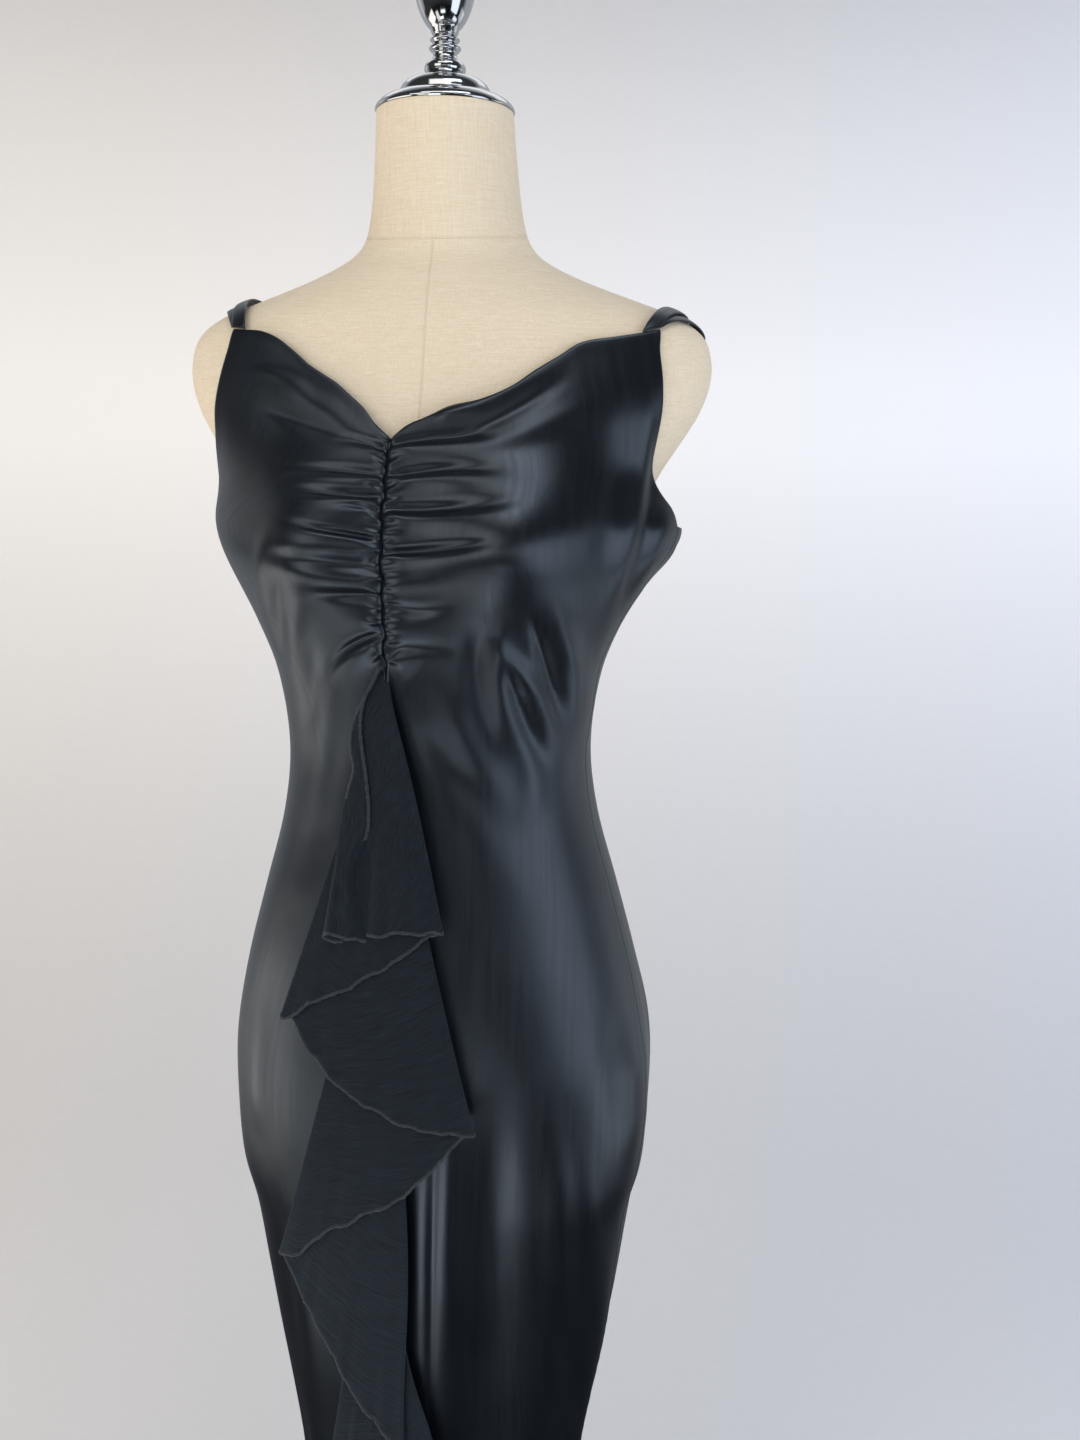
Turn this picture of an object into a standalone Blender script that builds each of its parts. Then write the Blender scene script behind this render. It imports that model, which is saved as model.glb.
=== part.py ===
"""Black satin mermaid dress with a cascading ruffle, worn by a limbless dress form.

Units are metres, +Z is up and the front of the dress faces -Y. The form stands on a
round base at z = 0. Angles go round the body from the front (-Y) towards +X.
"""

from collections import namedtuple
from math import asin, copysign, cos, exp, pi, radians, sin

import bmesh
import bpy
from mathutils import Vector

# Heights
NECK_TOP = 1.490
UNDERARM = 1.200
RUCHING_END = 1.085
FORM_BOTTOM = 0.688
HEM = 0.165

# Cloth
SATIN = 0.0012
CHIFFON = 0.0010
SEAM_GAP = 0.0003
CENTRE_SEAM_X = -0.018
STRAP_WIDTH = 0.0115
BACK_EDGE = 1.200
BACK_DIP = 0.010

# Stand and fittings
BASE_RADIUS = 0.165
BASE_HEIGHT = 0.016
POLE_RADIUS = 0.0125
NECK_CENTRE = 0.022
NECK_CAP_HEIGHT = 0.0225
BALL_RADIUS = 0.0150
BALL_HALF_HEIGHT = 0.0080
BALL_Z = 0.0138
KNOB_RADIUS = 0.0225
KNOB_Z = 0.0763
KNOB_RISE = 0.0400
KNOB_TOP_RISE = 0.0280

# Facets
FRONT_COLUMNS = 12
BACK_COLUMNS = 19
NECKLINE_ROWS = 12
RUCHED_ROWS = 26
SKIRT_ROWS = 20
BACK_ROWS = 13
COLUMN_SPREAD = 1.3
FORM_COLUMNS = 32
TURNED_STEPS = 24

Section = namedtuple("Section", "z half_width front back middle square")

FORM_SECTIONS = [
    Section(1.490, 0.0495, 0.0275, 0.0715, 0.022, 2.00),
    Section(1.455, 0.0520, 0.0265, 0.0770, 0.026, 2.00),
    Section(1.420, 0.0560, 0.0250, 0.0830, 0.029, 2.00),
    Section(1.400, 0.0620, 0.0240, 0.0860, 0.031, 2.00),
    Section(1.388, 0.0740, 0.0260, 0.0880, 0.032, 2.05),
    Section(1.374, 0.1020, 0.0340, 0.0910, 0.032, 2.10),
    Section(1.360, 0.1400, 0.0410, 0.0940, 0.032, 2.10),
    Section(1.348, 0.1720, 0.0460, 0.0960, 0.032, 2.15),
    Section(1.335, 0.1900, 0.0500, 0.0980, 0.032, 2.20),
    Section(1.318, 0.1965, 0.0550, 0.1000, 0.031, 2.20),
    Section(1.300, 0.1960, 0.0600, 0.1010, 0.030, 2.25),
    Section(1.280, 0.1890, 0.0660, 0.1020, 0.028, 2.30),
    Section(1.260, 0.1770, 0.0720, 0.1020, 0.024, 2.30),
    Section(1.240, 0.1640, 0.0780, 0.1010, 0.018, 2.30),
    Section(1.220, 0.1540, 0.0830, 0.1000, 0.012, 2.30),
    Section(1.200, 0.1490, 0.0880, 0.0990, 0.008, 2.30),
    Section(1.170, 0.1450, 0.0930, 0.0970, 0.005, 2.30),
    Section(1.130, 0.1290, 0.0920, 0.0930, 0.003, 2.30),
    Section(1.090, 0.1160, 0.0890, 0.0870, 0.002, 2.30),
    Section(1.033, 0.1090, 0.0840, 0.0810, 0.001, 2.30),
    Section(0.980, 0.1150, 0.0860, 0.0880, 0.002, 2.30),
    Section(0.920, 0.1320, 0.0920, 0.1020, 0.003, 2.30),
    Section(0.860, 0.1480, 0.0980, 0.1140, 0.003, 2.30),
    Section(0.800, 0.1580, 0.1020, 0.1210, 0.003, 2.30),
    Section(0.750, 0.1590, 0.1030, 0.1230, 0.002, 2.30),
    Section(0.710, 0.1560, 0.1010, 0.1200, 0.002, 2.30),
    Section(0.694, 0.1530, 0.0990, 0.1170, 0.002, 2.30),
    Section(0.688, 0.1480, 0.0940, 0.1120, 0.002, 2.30),
]

DRESS_SECTIONS = [
    Section(1.345, 0.1880, 0.0530, 0.1020, 0.032, 2.20),
    Section(1.335, 0.1945, 0.0560, 0.1030, 0.032, 2.20),
    Section(1.318, 0.2010, 0.0610, 0.1040, 0.031, 2.20),
    Section(1.300, 0.2005, 0.0670, 0.1050, 0.030, 2.25),
    Section(1.280, 0.1935, 0.0740, 0.1060, 0.028, 2.30),
    Section(1.260, 0.1820, 0.0810, 0.1060, 0.024, 2.30),
    Section(1.240, 0.1710, 0.0890, 0.1050, 0.018, 2.30),
    Section(1.220, 0.1680, 0.0960, 0.1045, 0.012, 2.30),
    Section(1.200, 0.1690, 0.1010, 0.1040, 0.008, 2.30),
    Section(1.175, 0.1620, 0.1040, 0.1020, 0.005, 2.30),
    Section(1.130, 0.1385, 0.1030, 0.0980, 0.003, 2.30),
    Section(1.090, 0.1225, 0.0990, 0.0920, 0.002, 2.30),
    Section(1.033, 0.1150, 0.0920, 0.0860, 0.001, 2.30),
    Section(0.980, 0.1210, 0.0930, 0.0930, 0.002, 2.30),
    Section(0.920, 0.1375, 0.0980, 0.1070, 0.003, 2.30),
    Section(0.860, 0.1535, 0.1040, 0.1190, 0.003, 2.30),
    Section(0.800, 0.1645, 0.1080, 0.1265, 0.003, 2.30),
    Section(0.750, 0.1655, 0.1090, 0.1285, 0.002, 2.30),
    Section(0.695, 0.1625, 0.1070, 0.1250, 0.002, 2.30),
    Section(0.660, 0.1530, 0.1035, 0.1190, 0.002, 2.30),
    Section(0.600, 0.1440, 0.0990, 0.1120, 0.001, 2.25),
    Section(0.540, 0.1350, 0.0940, 0.1050, 0.000, 2.20),
    Section(0.480, 0.1245, 0.0890, 0.0980, 0.000, 2.20),
    Section(0.420, 0.1150, 0.0860, 0.0930, 0.000, 2.15),
    Section(0.380, 0.1120, 0.0860, 0.0920, 0.000, 2.10),
    Section(0.340, 0.1150, 0.0900, 0.0950, 0.000, 2.10),
    Section(0.290, 0.1270, 0.1010, 0.1060, 0.000, 2.05),
    Section(0.230, 0.1460, 0.1190, 0.1240, 0.000, 2.00),
    Section(0.165, 0.1680, 0.1400, 0.1450, 0.000, 2.00),
]

# Bust: two soft mounds on each side of the centre
Bust = namedtuple("Bust", "x z spread_x spread_z height")
FORM_BUST = Bust(0.076, 1.188, 0.042, 0.048, 0.028)
DRESS_BUST = Bust(0.076, 1.188, 0.046, 0.050, 0.024)

# Heights of the front neckline, by share of the way from the centre seam to the armhole
Neckline = namedtuple("Neckline", "share right left")
NECKLINE = [
    Neckline(0.00, 1.2590, 1.2590),
    Neckline(0.07, 1.2705, 1.2730),
    Neckline(0.14, 1.2800, 1.2845),
    Neckline(0.23, 1.2845, 1.2955),
    Neckline(0.33, 1.2930, 1.3040),
    Neckline(0.42, 1.3040, 1.3110),
    Neckline(0.52, 1.3150, 1.3200),
    Neckline(0.62, 1.3250, 1.3280),
    Neckline(0.75, 1.3290, 1.3335),
    Neckline(0.88, 1.3325, 1.3350),
    Neckline(1.00, 1.3360, 1.3360),
]

# The armhole, in degrees from the front, down to the side seams
Armhole = namedtuple("Armhole", "z right left")
ARMHOLE = [
    Armhole(1.336, 55.0, 47.0),
    Armhole(1.320, 52.5, 46.5),
    Armhole(1.300, 53.5, 48.5),
    Armhole(1.280, 56.5, 53.0),
    Armhole(1.260, 61.0, 60.0),
    Armhole(1.240, 67.0, 72.0),
    Armhole(1.220, 74.0, 88.0),
    Armhole(1.200, 80.0, 100.0),
]

# Gathers that run out from the ruched centre seam
Gather = namedtuple("Gather", "side z rise reach height width")
GATHERS = [
    Gather(1, 1.249, 0.18, 0.060, 0.0038, 0.0055),
    Gather(1, 1.231, 0.06, 0.092, 0.0052, 0.0065),
    Gather(1, 1.200, 0.11, 0.092, 0.0058, 0.0080),
    Gather(1, 1.173, 0.12, 0.076, 0.0048, 0.0065),
    Gather(1, 1.151, 0.10, 0.056, 0.0036, 0.0055),
    Gather(1, 1.132, 0.02, 0.052, 0.0034, 0.0055),
    Gather(1, 1.110, -0.14, 0.048, 0.0046, 0.0065),
    Gather(-1, 1.247, 0.25, 0.056, 0.0038, 0.0055),
    Gather(-1, 1.232, 0.14, 0.068, 0.0046, 0.0060),
    Gather(-1, 1.208, 0.15, 0.080, 0.0060, 0.0080),
    Gather(-1, 1.181, 0.17, 0.080, 0.0052, 0.0075),
    Gather(-1, 1.158, 0.18, 0.062, 0.0036, 0.0055),
    Gather(-1, 1.137, 0.15, 0.048, 0.0036, 0.0055),
    Gather(-1, 1.112, -0.20, 0.060, 0.0050, 0.0080),
]
SMALL_REACH = 0.030
SMALL_HEIGHT = 0.0024
SMALL_WIDTH = 0.0042
for upper, lower in zip(GATHERS[:], GATHERS[1:]):
    if upper.side == lower.side:
        between = (upper.z + lower.z) / 2
        GATHERS.append(Gather(upper.side, between, 0.1, SMALL_REACH, SMALL_HEIGHT, SMALL_WIDTH))

# Drag folds on the satin, each a soft ridge through three places on the front
Drag = namedtuple("Drag", "x0 z0 x1 z1 x2 z2 height width")
DRAGS = [
    Drag(0.060, 1.142, 0.052, 1.095, 0.078, 0.995, 0.0026, 0.009),
    Drag(0.062, 1.112, 0.086, 1.078, 0.108, 1.036, 0.0026, 0.008),
    Drag(0.100, 1.142, 0.108, 1.090, 0.108, 1.044, 0.0020, 0.007),
    Drag(0.004, 1.086, 0.036, 0.995, 0.084, 0.897, 0.0018, 0.020),
    Drag(0.150, 1.262, 0.152, 1.205, 0.142, 1.150, 0.0022, 0.007),
    Drag(-0.148, 1.262, -0.146, 1.215, -0.128, 1.165, 0.0022, 0.008),
    Drag(-0.082, 1.112, -0.074, 1.072, -0.078, 1.028, 0.0022, 0.009),
    Drag(-0.052, 1.100, -0.058, 1.050, -0.088, 0.985, 0.0018, 0.009),
]

# Slack cloth that stands off the form below each armhole
Slack = namedtuple("Slack", "degrees z spread spread_z height")
SLACKS = [
    Slack(86, 1.197, 24, 0.028, 0.0115),
    Slack(-98, 1.200, 24, 0.030, 0.0040),
]

# Flutes in the skirt where it hangs free below the form
Flute = namedtuple("Flute", "degrees spread depth")
FLUTES = [
    Flute(-152, 11, 0.016),
    Flute(-118, 10, 0.018),
    Flute(-82, 10, 0.016),
    Flute(-46, 10, 0.017),
    Flute(3, 9, 0.014),
    Flute(38, 10, 0.018),
    Flute(72, 10, 0.016),
    Flute(108, 10, 0.018),
    Flute(143, 11, 0.017),
    Flute(176, 11, 0.019),
]
FLUTE_TOP = 0.700
FLUTE_GROWTH = 1.7

# The ruffle zigzags down the centre seam. Each row is one fold: the height where it
# leaves the seam, its tip beside the seam, how far it bows aside, the drop of the hem
# edge between this fold and the next, and the distance to the layer behind it.
Fold = namedtuple("Fold", "seam_z tip_x tip_z bow drop layer")
RUFFLE_FOLDS = [
    Fold(1.1070, -0.011, 0.909, -0.006, 0.000, 0.0036),
    Fold(1.1030, -0.039, 0.908, 0.000, 0.000, 0.0042),
    Fold(1.0960, 0.040, 0.918, 0.000, 0.001, 0.0055),
    Fold(1.0820, -0.071, 0.842, 0.000, 0.022, 0.0060),
    Fold(1.0260, 0.063, 0.772, 0.000, 0.004, 0.0060),
    Fold(0.9580, -0.078, 0.652, 0.000, 0.016, 0.0060),
    Fold(0.8800, 0.010, 0.505, 0.009, 0.004, 0.0060),
    Fold(0.8080, -0.046, 0.450, 0.000, 0.016, 0.0060),
    Fold(0.6200, 0.052, 0.375, 0.006, 0.004, 0.0060),
    Fold(0.5600, -0.060, 0.315, 0.000, 0.014, 0.0060),
    Fold(0.5000, 0.050, 0.262, 0.000, 0.004, 0.0060),
    Fold(0.4460, -0.062, 0.214, 0.000, 0.008, 0.0060),
    Fold(0.3940, 0.036, 0.178, 0.000, 0.000, 0.0060),
]
RUFFLE_CLEAR = 0.0032
RUFFLE_SEAM_CLEAR = 0.0005
RUFFLE_START = 0.035
FOLD_SHARE = 0.07
FOLD_OPENS = 0.90
PANEL_STEPS = 4
FOLD_STEPS = 4
RUFFLE_ROWS = 7

# Straps: where each leaves the front, crosses the shoulder and meets the back
Strap = namedtuple("Strap", "name side front_x crest_x back_x lift")
STRAPS = [
    Strap("strap_right_inner", 1, 0.1530, 0.171, 0.056, 0.0042),
    Strap("strap_right_outer", 1, 0.1550, 0.184, 0.096, 0.0024),
    Strap("strap_left_inner", -1, 0.1390, 0.150, 0.052, 0.0042),
    Strap("strap_left_outer", -1, 0.1410, 0.164, 0.092, 0.0024),
]
STRAP_BASE_LIFT = 0.0012
STRAP_END_LIFT = 0.0043
STRAP_GAP = 0.0008
STRAP_ROWS = 22
SHOULDER_MIDDLE = (0.030, 1.290)


def smooth_value(rows, key, value, column):
    """Read a column of a table at a place between its rows, on a smooth curve."""
    if (getattr(rows[0], key) - getattr(rows[-1], key)) > 0:
        rows = rows[::-1]
    spots = [getattr(row, key) for row in rows]
    heights = [getattr(row, column) for row in rows]
    last = len(rows) - 1
    value = min(max(value, spots[0]), spots[last])
    i = 0
    while i < last - 1 and value > spots[i + 1]:
        i += 1

    def slope(k):
        low, high = max(k - 1, 0), min(k + 1, last)
        return (heights[high] - heights[low]) / (spots[high] - spots[low])

    span = spots[i + 1] - spots[i]
    t = (value - spots[i]) / span
    return (
        heights[i] * (1 + 2 * t) * (1 - t) ** 2
        + slope(i) * span * t * (1 - t) ** 2
        + heights[i + 1] * t * t * (3 - 2 * t)
        + slope(i + 1) * span * t * t * (t - 1)
    )


def section_at(sections, z):
    values = [smooth_value(sections, "z", z, column) for column in Section._fields[1:]]
    return Section(z, *values)


def bust_lift(bust, x, z):
    lift = 0.0
    for side in (-1, 1):
        across = (x - side * bust.x) / bust.spread_x
        along = (z - bust.z) / bust.spread_z
        lift += bust.height * exp(-across * across - along * along)
    return lift


def body_point(sections, bust, angle, z):
    """A point of a horizontal section, with the bust added in front."""
    row = section_at(sections, z)
    s, c = sin(angle), cos(angle)
    power = 2 / row.square
    x = row.half_width * copysign(abs(s) ** power, s)
    depth = row.front + row.middle if c > 0 else row.back - row.middle
    y = row.middle - depth * copysign(abs(c) ** power, c)
    if c > 0:
        y -= bust_lift(bust, x, z) * abs(c) ** 0.5
    return Vector((x, y, z))


def angle_of(x, z):
    """The angle at which the dress section at height z reaches x, in front."""
    row = section_at(DRESS_SECTIONS, z)
    reach = min(abs(x) / row.half_width, 1.0)
    return copysign(asin(reach ** (row.square / 2)), x)


def outward(point, angle, z):
    """The surface's outward direction at a place, from its two tangents."""
    step, rise = radians(1.0), 0.002
    across = point(angle + step, z) - point(angle - step, z)
    up = point(angle, z + rise) - point(angle, z - rise)
    return across.cross(up).normalized()


def dress_base(angle, z):
    return body_point(DRESS_SECTIONS, DRESS_BUST, angle, z)


def flute_lift(angle, z):
    if z >= FLUTE_TOP:
        return 0.0
    growth = ((FLUTE_TOP - z) / (FLUTE_TOP - HEM)) ** FLUTE_GROWTH
    lift = 0.0
    for flute in FLUTES:
        away = (angle - radians(flute.degrees) + pi) % (2 * pi) - pi
        lift += flute.depth * exp(-((away / radians(flute.spread)) ** 2))
    return lift * growth


def gather_lift(side, from_seam, z):
    lift = 0.0
    for gather in GATHERS:
        share = from_seam / gather.reach
        if gather.side != side or share >= 1:
            continue
        off = (z - gather.z - gather.rise * from_seam) / (gather.width * (1 + share))
        pinned = 1 - exp(-((from_seam + 0.001) / 0.005) ** 2)
        lift += gather.height * exp(-off * off) * (1 - share * share) ** 2 * pinned
    return lift


def drag_lift(x, z):
    lift = 0.0
    for fold in DRAGS:
        if not fold.z2 - 0.03 < z < fold.z0 + 0.03:
            continue
        t = min(max((fold.z0 - z) / (fold.z0 - fold.z2), 0.0), 1.0)
        ridge_x = (1 - t) ** 2 * fold.x0 + 2 * t * (1 - t) * fold.x1 + t * t * fold.x2
        ends = max(z - fold.z0, fold.z2 - z, 0.0) / 0.012
        off = (x - ridge_x) / fold.width
        lift += fold.height * exp(-off * off - ends * ends) * sin(pi * (0.12 + 0.76 * t))
    return lift


def slack_lift(angle, z):
    lift = 0.0
    for slack in SLACKS:
        away = (angle - radians(slack.degrees) + pi) % (2 * pi) - pi
        across = away / radians(slack.spread)
        along = (z - slack.z) / slack.spread_z
        lift += slack.height * exp(-across * across - along * along)
    return lift


def dress_point(angle, z, lift=0.0):
    """A point of the dress's outer face, with its folds, moved out by lift."""
    base = dress_base(angle, z)
    normal = outward(dress_base, angle, z)
    lift += flute_lift(angle, z) + slack_lift(angle, z)
    if cos(angle) > 0:
        side = 1 if base.x >= CENTRE_SEAM_X else -1
        lift += gather_lift(side, abs(base.x - CENTRE_SEAM_X), z) + drag_lift(base.x, z)
    return base + normal * lift


def new_object(name, bm, material, collection):
    mesh = bpy.data.meshes.new(name)
    bm.to_mesh(mesh)
    bm.free()
    mesh.materials.append(material)
    mesh.shade_smooth()
    mesh.set_sharp_from_angle(angle=radians(50))
    piece = bpy.data.objects.new(name, mesh)
    collection.objects.link(piece)
    return piece


def mapped_grid(columns, rows, place):
    """A sheet of faces whose corners are put in place by a function of (u, v)."""
    bm = bmesh.new()
    bmesh.ops.create_grid(bm, x_segments=columns, y_segments=rows, size=0.5)
    for vert in bm.verts:
        vert.co = place(vert.co.x + 0.5, vert.co.y + 0.5)
    return bm


def cloth_wall(columns, rows, thickness, place):
    """A closed wall between place(u, v, 0) outside and place(u, v, thickness) inside."""
    bm = bmesh.new()
    bmesh.ops.create_grid(bm, x_segments=columns, y_segments=rows, size=0.5)
    outer = list(bm.verts)
    copied = bmesh.ops.duplicate(bm, geom=bm.verts[:] + bm.edges[:] + bm.faces[:])
    inner_faces = [item for item in copied["geom"] if isinstance(item, bmesh.types.BMFace)]
    bmesh.ops.reverse_faces(bm, faces=inner_faces)
    rims = [edge for edge in bm.edges if edge.is_boundary]
    for vert in outer:
        u, v = vert.co.x + 0.5, vert.co.y + 0.5
        copied["vert_map"][vert].co = place(u, v, thickness)
        vert.co = place(u, v, 0.0)
    bmesh.ops.bridge_loops(bm, edges=rims)
    bmesh.ops.recalc_face_normals(bm, faces=bm.faces)
    return bm


def front_edge_angle(side, z):
    """Where a front panel ends: the armhole, and below it the side seam."""
    column = "right" if side > 0 else "left"
    return side * radians(smooth_value(ARMHOLE, "z", z, column))


def panel_height(top, v):
    """Rows: even ones above the underarm, close ones on the ruching, then the skirt."""
    row = (1 - v) * (NECKLINE_ROWS + RUCHED_ROWS + SKIRT_ROWS)
    if row <= NECKLINE_ROWS:
        return top + (UNDERARM - top) * row / NECKLINE_ROWS
    row -= NECKLINE_ROWS
    if row <= RUCHED_ROWS:
        return UNDERARM + (RUCHING_END - UNDERARM) * row / RUCHED_ROWS
    row -= RUCHED_ROWS
    return RUCHING_END + (HEM - RUCHING_END) * row / SKIRT_ROWS


def make_front(name, side, material, collection):
    """A front panel, from the ruched centre seam to the armhole and the side seam."""

    def place(u, v, depth):
        share = (u if side > 0 else 1 - u) ** COLUMN_SPREAD
        top = smooth_value(NECKLINE, "share", share, "right" if side > 0 else "left")
        z = panel_height(top, v)
        edge, seam = front_edge_angle(side, z), angle_of(CENTRE_SEAM_X, z)
        half_gap = 0.5 * SEAM_GAP * side
        angle = seam + share * (edge - seam)
        point = dress_point(angle, z, -depth)
        across = (dress_base(angle + radians(1), z) - dress_base(angle, z)).normalized()
        return point + across * half_gap * (1 - 2 * share)

    rows = NECKLINE_ROWS + RUCHED_ROWS + SKIRT_ROWS
    bm = cloth_wall(FRONT_COLUMNS, rows, SATIN, place)
    return new_object(name, bm, material, collection)


def make_back(name, material, collection):
    """The back panel, from one side seam round the back to the other."""
    first, last = radians(ARMHOLE[-1].right), 2 * pi - radians(ARMHOLE[-1].left)

    def place(u, v, depth):
        angle = first + u * (last - first)
        row = (1 - v) * (BACK_ROWS + SKIRT_ROWS)
        if row <= BACK_ROWS:
            top = back_top(angle)
            z = top + (RUCHING_END - top) * row / BACK_ROWS
        else:
            z = RUCHING_END + (HEM - RUCHING_END) * (row - BACK_ROWS) / SKIRT_ROWS
        point = dress_point(angle, z, -depth)
        across = (dress_base(angle + radians(1), z) - dress_base(angle, z)).normalized()
        return point + across * 0.5 * SEAM_GAP * (1 - 2 * u)

    bm = cloth_wall(BACK_COLUMNS, BACK_ROWS + SKIRT_ROWS, SATIN, place)
    return new_object(name, bm, material, collection)


def ruffle_places():
    """Places along the ruffle's strip: (fold number, turn of the fold or None)."""
    places = []
    for fold in range(len(RUFFLE_FOLDS) - 1):
        low = fold + (FOLD_SHARE if fold else 0.0)
        high = fold + 1 - (FOLD_SHARE if fold < len(RUFFLE_FOLDS) - 2 else 0.0)
        for step in range(PANEL_STEPS + 1):
            places.append((low + (high - low) * step / PANEL_STEPS, None))
        if fold < len(RUFFLE_FOLDS) - 2:
            for step in range(1, FOLD_STEPS):
                share = step / FOLD_STEPS
                places.append((high + 2 * FOLD_SHARE * share, share))
    return places


def layers_above(number):
    """Depth of all the layers that leave the seam above a place on the strip."""
    whole = min(int(number), len(RUFFLE_FOLDS) - 1)
    depth = sum(fold.layer for fold in RUFFLE_FOLDS[:whole])
    return depth + (number - whole) * RUFFLE_FOLDS[whole].layer


def seam_height(number):
    whole = min(int(number), len(RUFFLE_FOLDS) - 2)
    low, high = RUFFLE_FOLDS[whole], RUFFLE_FOLDS[whole + 1]
    return low.seam_z + (high.seam_z - low.seam_z) * (number - whole)


def strip_number(z):
    """The place on the strip that leaves the seam at height z."""
    for number in range(len(RUFFLE_FOLDS) - 1):
        low, high = RUFFLE_FOLDS[number], RUFFLE_FOLDS[number + 1]
        if z >= high.seam_z:
            return number + (low.seam_z - z) / (low.seam_z - high.seam_z)
    return len(RUFFLE_FOLDS) - 1.0


def opening_share(number):
    """How far along a ruling the folds beside it have opened to their full width."""
    last = len(RUFFLE_FOLDS) - 1
    low = min(int(number), last - 1)

    def step(fold):
        above, below = RUFFLE_FOLDS[max(fold - 1, 0)], RUFFLE_FOLDS[min(fold + 1, last)]
        return (above.seam_z - below.seam_z) / (min(fold + 1, last) - max(fold - 1, 0))

    spacing = step(low) + (step(low + 1) - step(low)) * (number - low)
    length = RUFFLE_FOLDS[low].seam_z - RUFFLE_FOLDS[low].tip_z
    return FOLD_OPENS * spacing / length


def ruffle_point(number, turn, v):
    """A point of the ruffle: v runs from the seam to the hem along one ruling."""
    last = len(RUFFLE_FOLDS) - 2
    opened = min(v / opening_share(number), 1.0)
    opened = opened * opened * (3 - 2 * opened)
    nearest = min(max(round(number), 0), last + 1)
    seam_z = seam_height(number)
    if turn is None:
        whole = min(int(number), last)
        start = whole + (FOLD_SHARE if whole else 0.0)
        end = whole + 1 - (FOLD_SHARE if whole < last else 0.0)
        t = (number - start) / (end - start)
        low, high = RUFFLE_FOLDS[whole], RUFFLE_FOLDS[whole + 1]
        tip_x = low.tip_x + (high.tip_x - low.tip_x) * t
        tip_z = low.tip_z + (high.tip_z - low.tip_z) * t - low.drop * sin(pi * t)
        bow = low.bow + (high.bow - low.bow) * t
        front = 0.0
        aside = 0.0
        behind = layers_above(whole)
    else:
        fold = RUFFLE_FOLDS[nearest]
        before = RUFFLE_FOLDS[nearest - 1]
        tip_x, tip_z, bow = fold.tip_x, fold.tip_z, fold.bow
        radius = before.layer / 2
        front = -radius * (1 - cos(pi * turn))
        aside = copysign(radius * sin(pi * turn), fold.tip_x)
        behind = layers_above(nearest - 1)
    z = seam_z + (tip_z - seam_z) * v
    across = tip_x * v + bow * sin(pi * v) ** 2 + aside * opened
    over_seam = layers_above(strip_number(z)) - layers_above(number)
    stacked = layers_above(strip_number(z)) - behind
    lift = over_seam + (stacked - over_seam + front) * opened
    angle = angle_of(CENTRE_SEAM_X + across, z)
    return dress_point(angle, z, RUFFLE_CLEAR * min(v / 0.15, 1.0) + RUFFLE_SEAM_CLEAR + max(lift, 0.0))


def make_ruffle(name, material, collection):
    """The cascade: one long strip, folded left and right all down the centre seam."""
    places = ruffle_places()

    def place(u, v):
        number, turn = places[round(u * (len(places) - 1))]
        along = RUFFLE_START + (1 - RUFFLE_START) * (1 - v) ** 1.15
        return ruffle_point(number, turn, along)

    bm = mapped_grid(len(places) - 1, RUFFLE_ROWS, place)
    ruffle = new_object(name, bm, material, collection)
    wall = ruffle.modifiers.new("wall", "SOLIDIFY")
    wall.thickness = CHIFFON
    wall.offset = 0.0
    return ruffle


def inside_form(x, y, z):
    row = section_at(FORM_SECTIONS, z)
    depth = row.front + row.middle if y < row.middle else row.back - row.middle
    across = (abs(x) / row.half_width) ** row.square
    return across + (abs(y - row.middle) / depth) ** row.square < 1


def over_shoulder(x, turn):
    """The form's surface above x, turned from the front (0) over the top to the back."""
    middle_y, middle_z = SHOULDER_MIDDLE
    near, far = 0.0, 0.2
    for _ in range(30):
        half = (near + far) / 2
        if inside_form(x, middle_y - half * cos(turn), middle_z + half * sin(turn)):
            near = half
        else:
            far = half
    return Vector((x, middle_y - near * cos(turn), middle_z + near * sin(turn)))


def front_top(x):
    """Height of a front panel's upper edge at a place beside the centre."""
    side, column = (1, "right") if x > 0 else (-1, "left")
    z = NECKLINE[-1].right
    for _ in range(4):
        seam = angle_of(CENTRE_SEAM_X, z)
        share = (angle_of(x, z) - seam) / (front_edge_angle(side, z) - seam)
        z = smooth_value(NECKLINE, "share", share, column)
    return z


def back_top(angle):
    """Height of the back panel's upper edge."""
    first, last = radians(ARMHOLE[-1].right), 2 * pi - radians(ARMHOLE[-1].left)
    return BACK_EDGE - BACK_DIP * sin(pi * (angle - first) / (last - first))


def strap_point(x, turn, lift):
    """A place lift above the form's surface, where a strap passes over it."""
    step = radians(3)
    along = over_shoulder(x, turn + step) - over_shoulder(x, turn - step)
    across = over_shoulder(x + 0.004, turn) - over_shoulder(x - 0.004, turn)
    return over_shoulder(x, turn) + across.cross(along).normalized() * lift


def turn_at(x, z, lift, low, high):
    """The turn between low and high at which a strap beside x passes height z."""
    rising = strap_point(x, high, lift).z > strap_point(x, low, lift).z
    for _ in range(30):
        half = (low + high) / 2
        if (strap_point(x, half, lift).z < z) == rising:
            low = half
        else:
            high = half
    return high


def strap_middle(strap, v):
    """Where the middle of a strap runs, as an x and a lift off the form."""
    crest = min(v / 0.3, 1.0)
    down = max((v - 0.3) / 0.7, 0.0)
    x = strap.front_x + (strap.crest_x - strap.front_x) * sin(pi / 2 * crest)
    x += (strap.back_x - strap.crest_x) * (1 - cos(pi / 2 * down))
    lift = strap.lift + STRAP_BASE_LIFT * (1 - crest)
    return strap.side * x, lift + (STRAP_END_LIFT - strap.lift) * down**2


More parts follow.
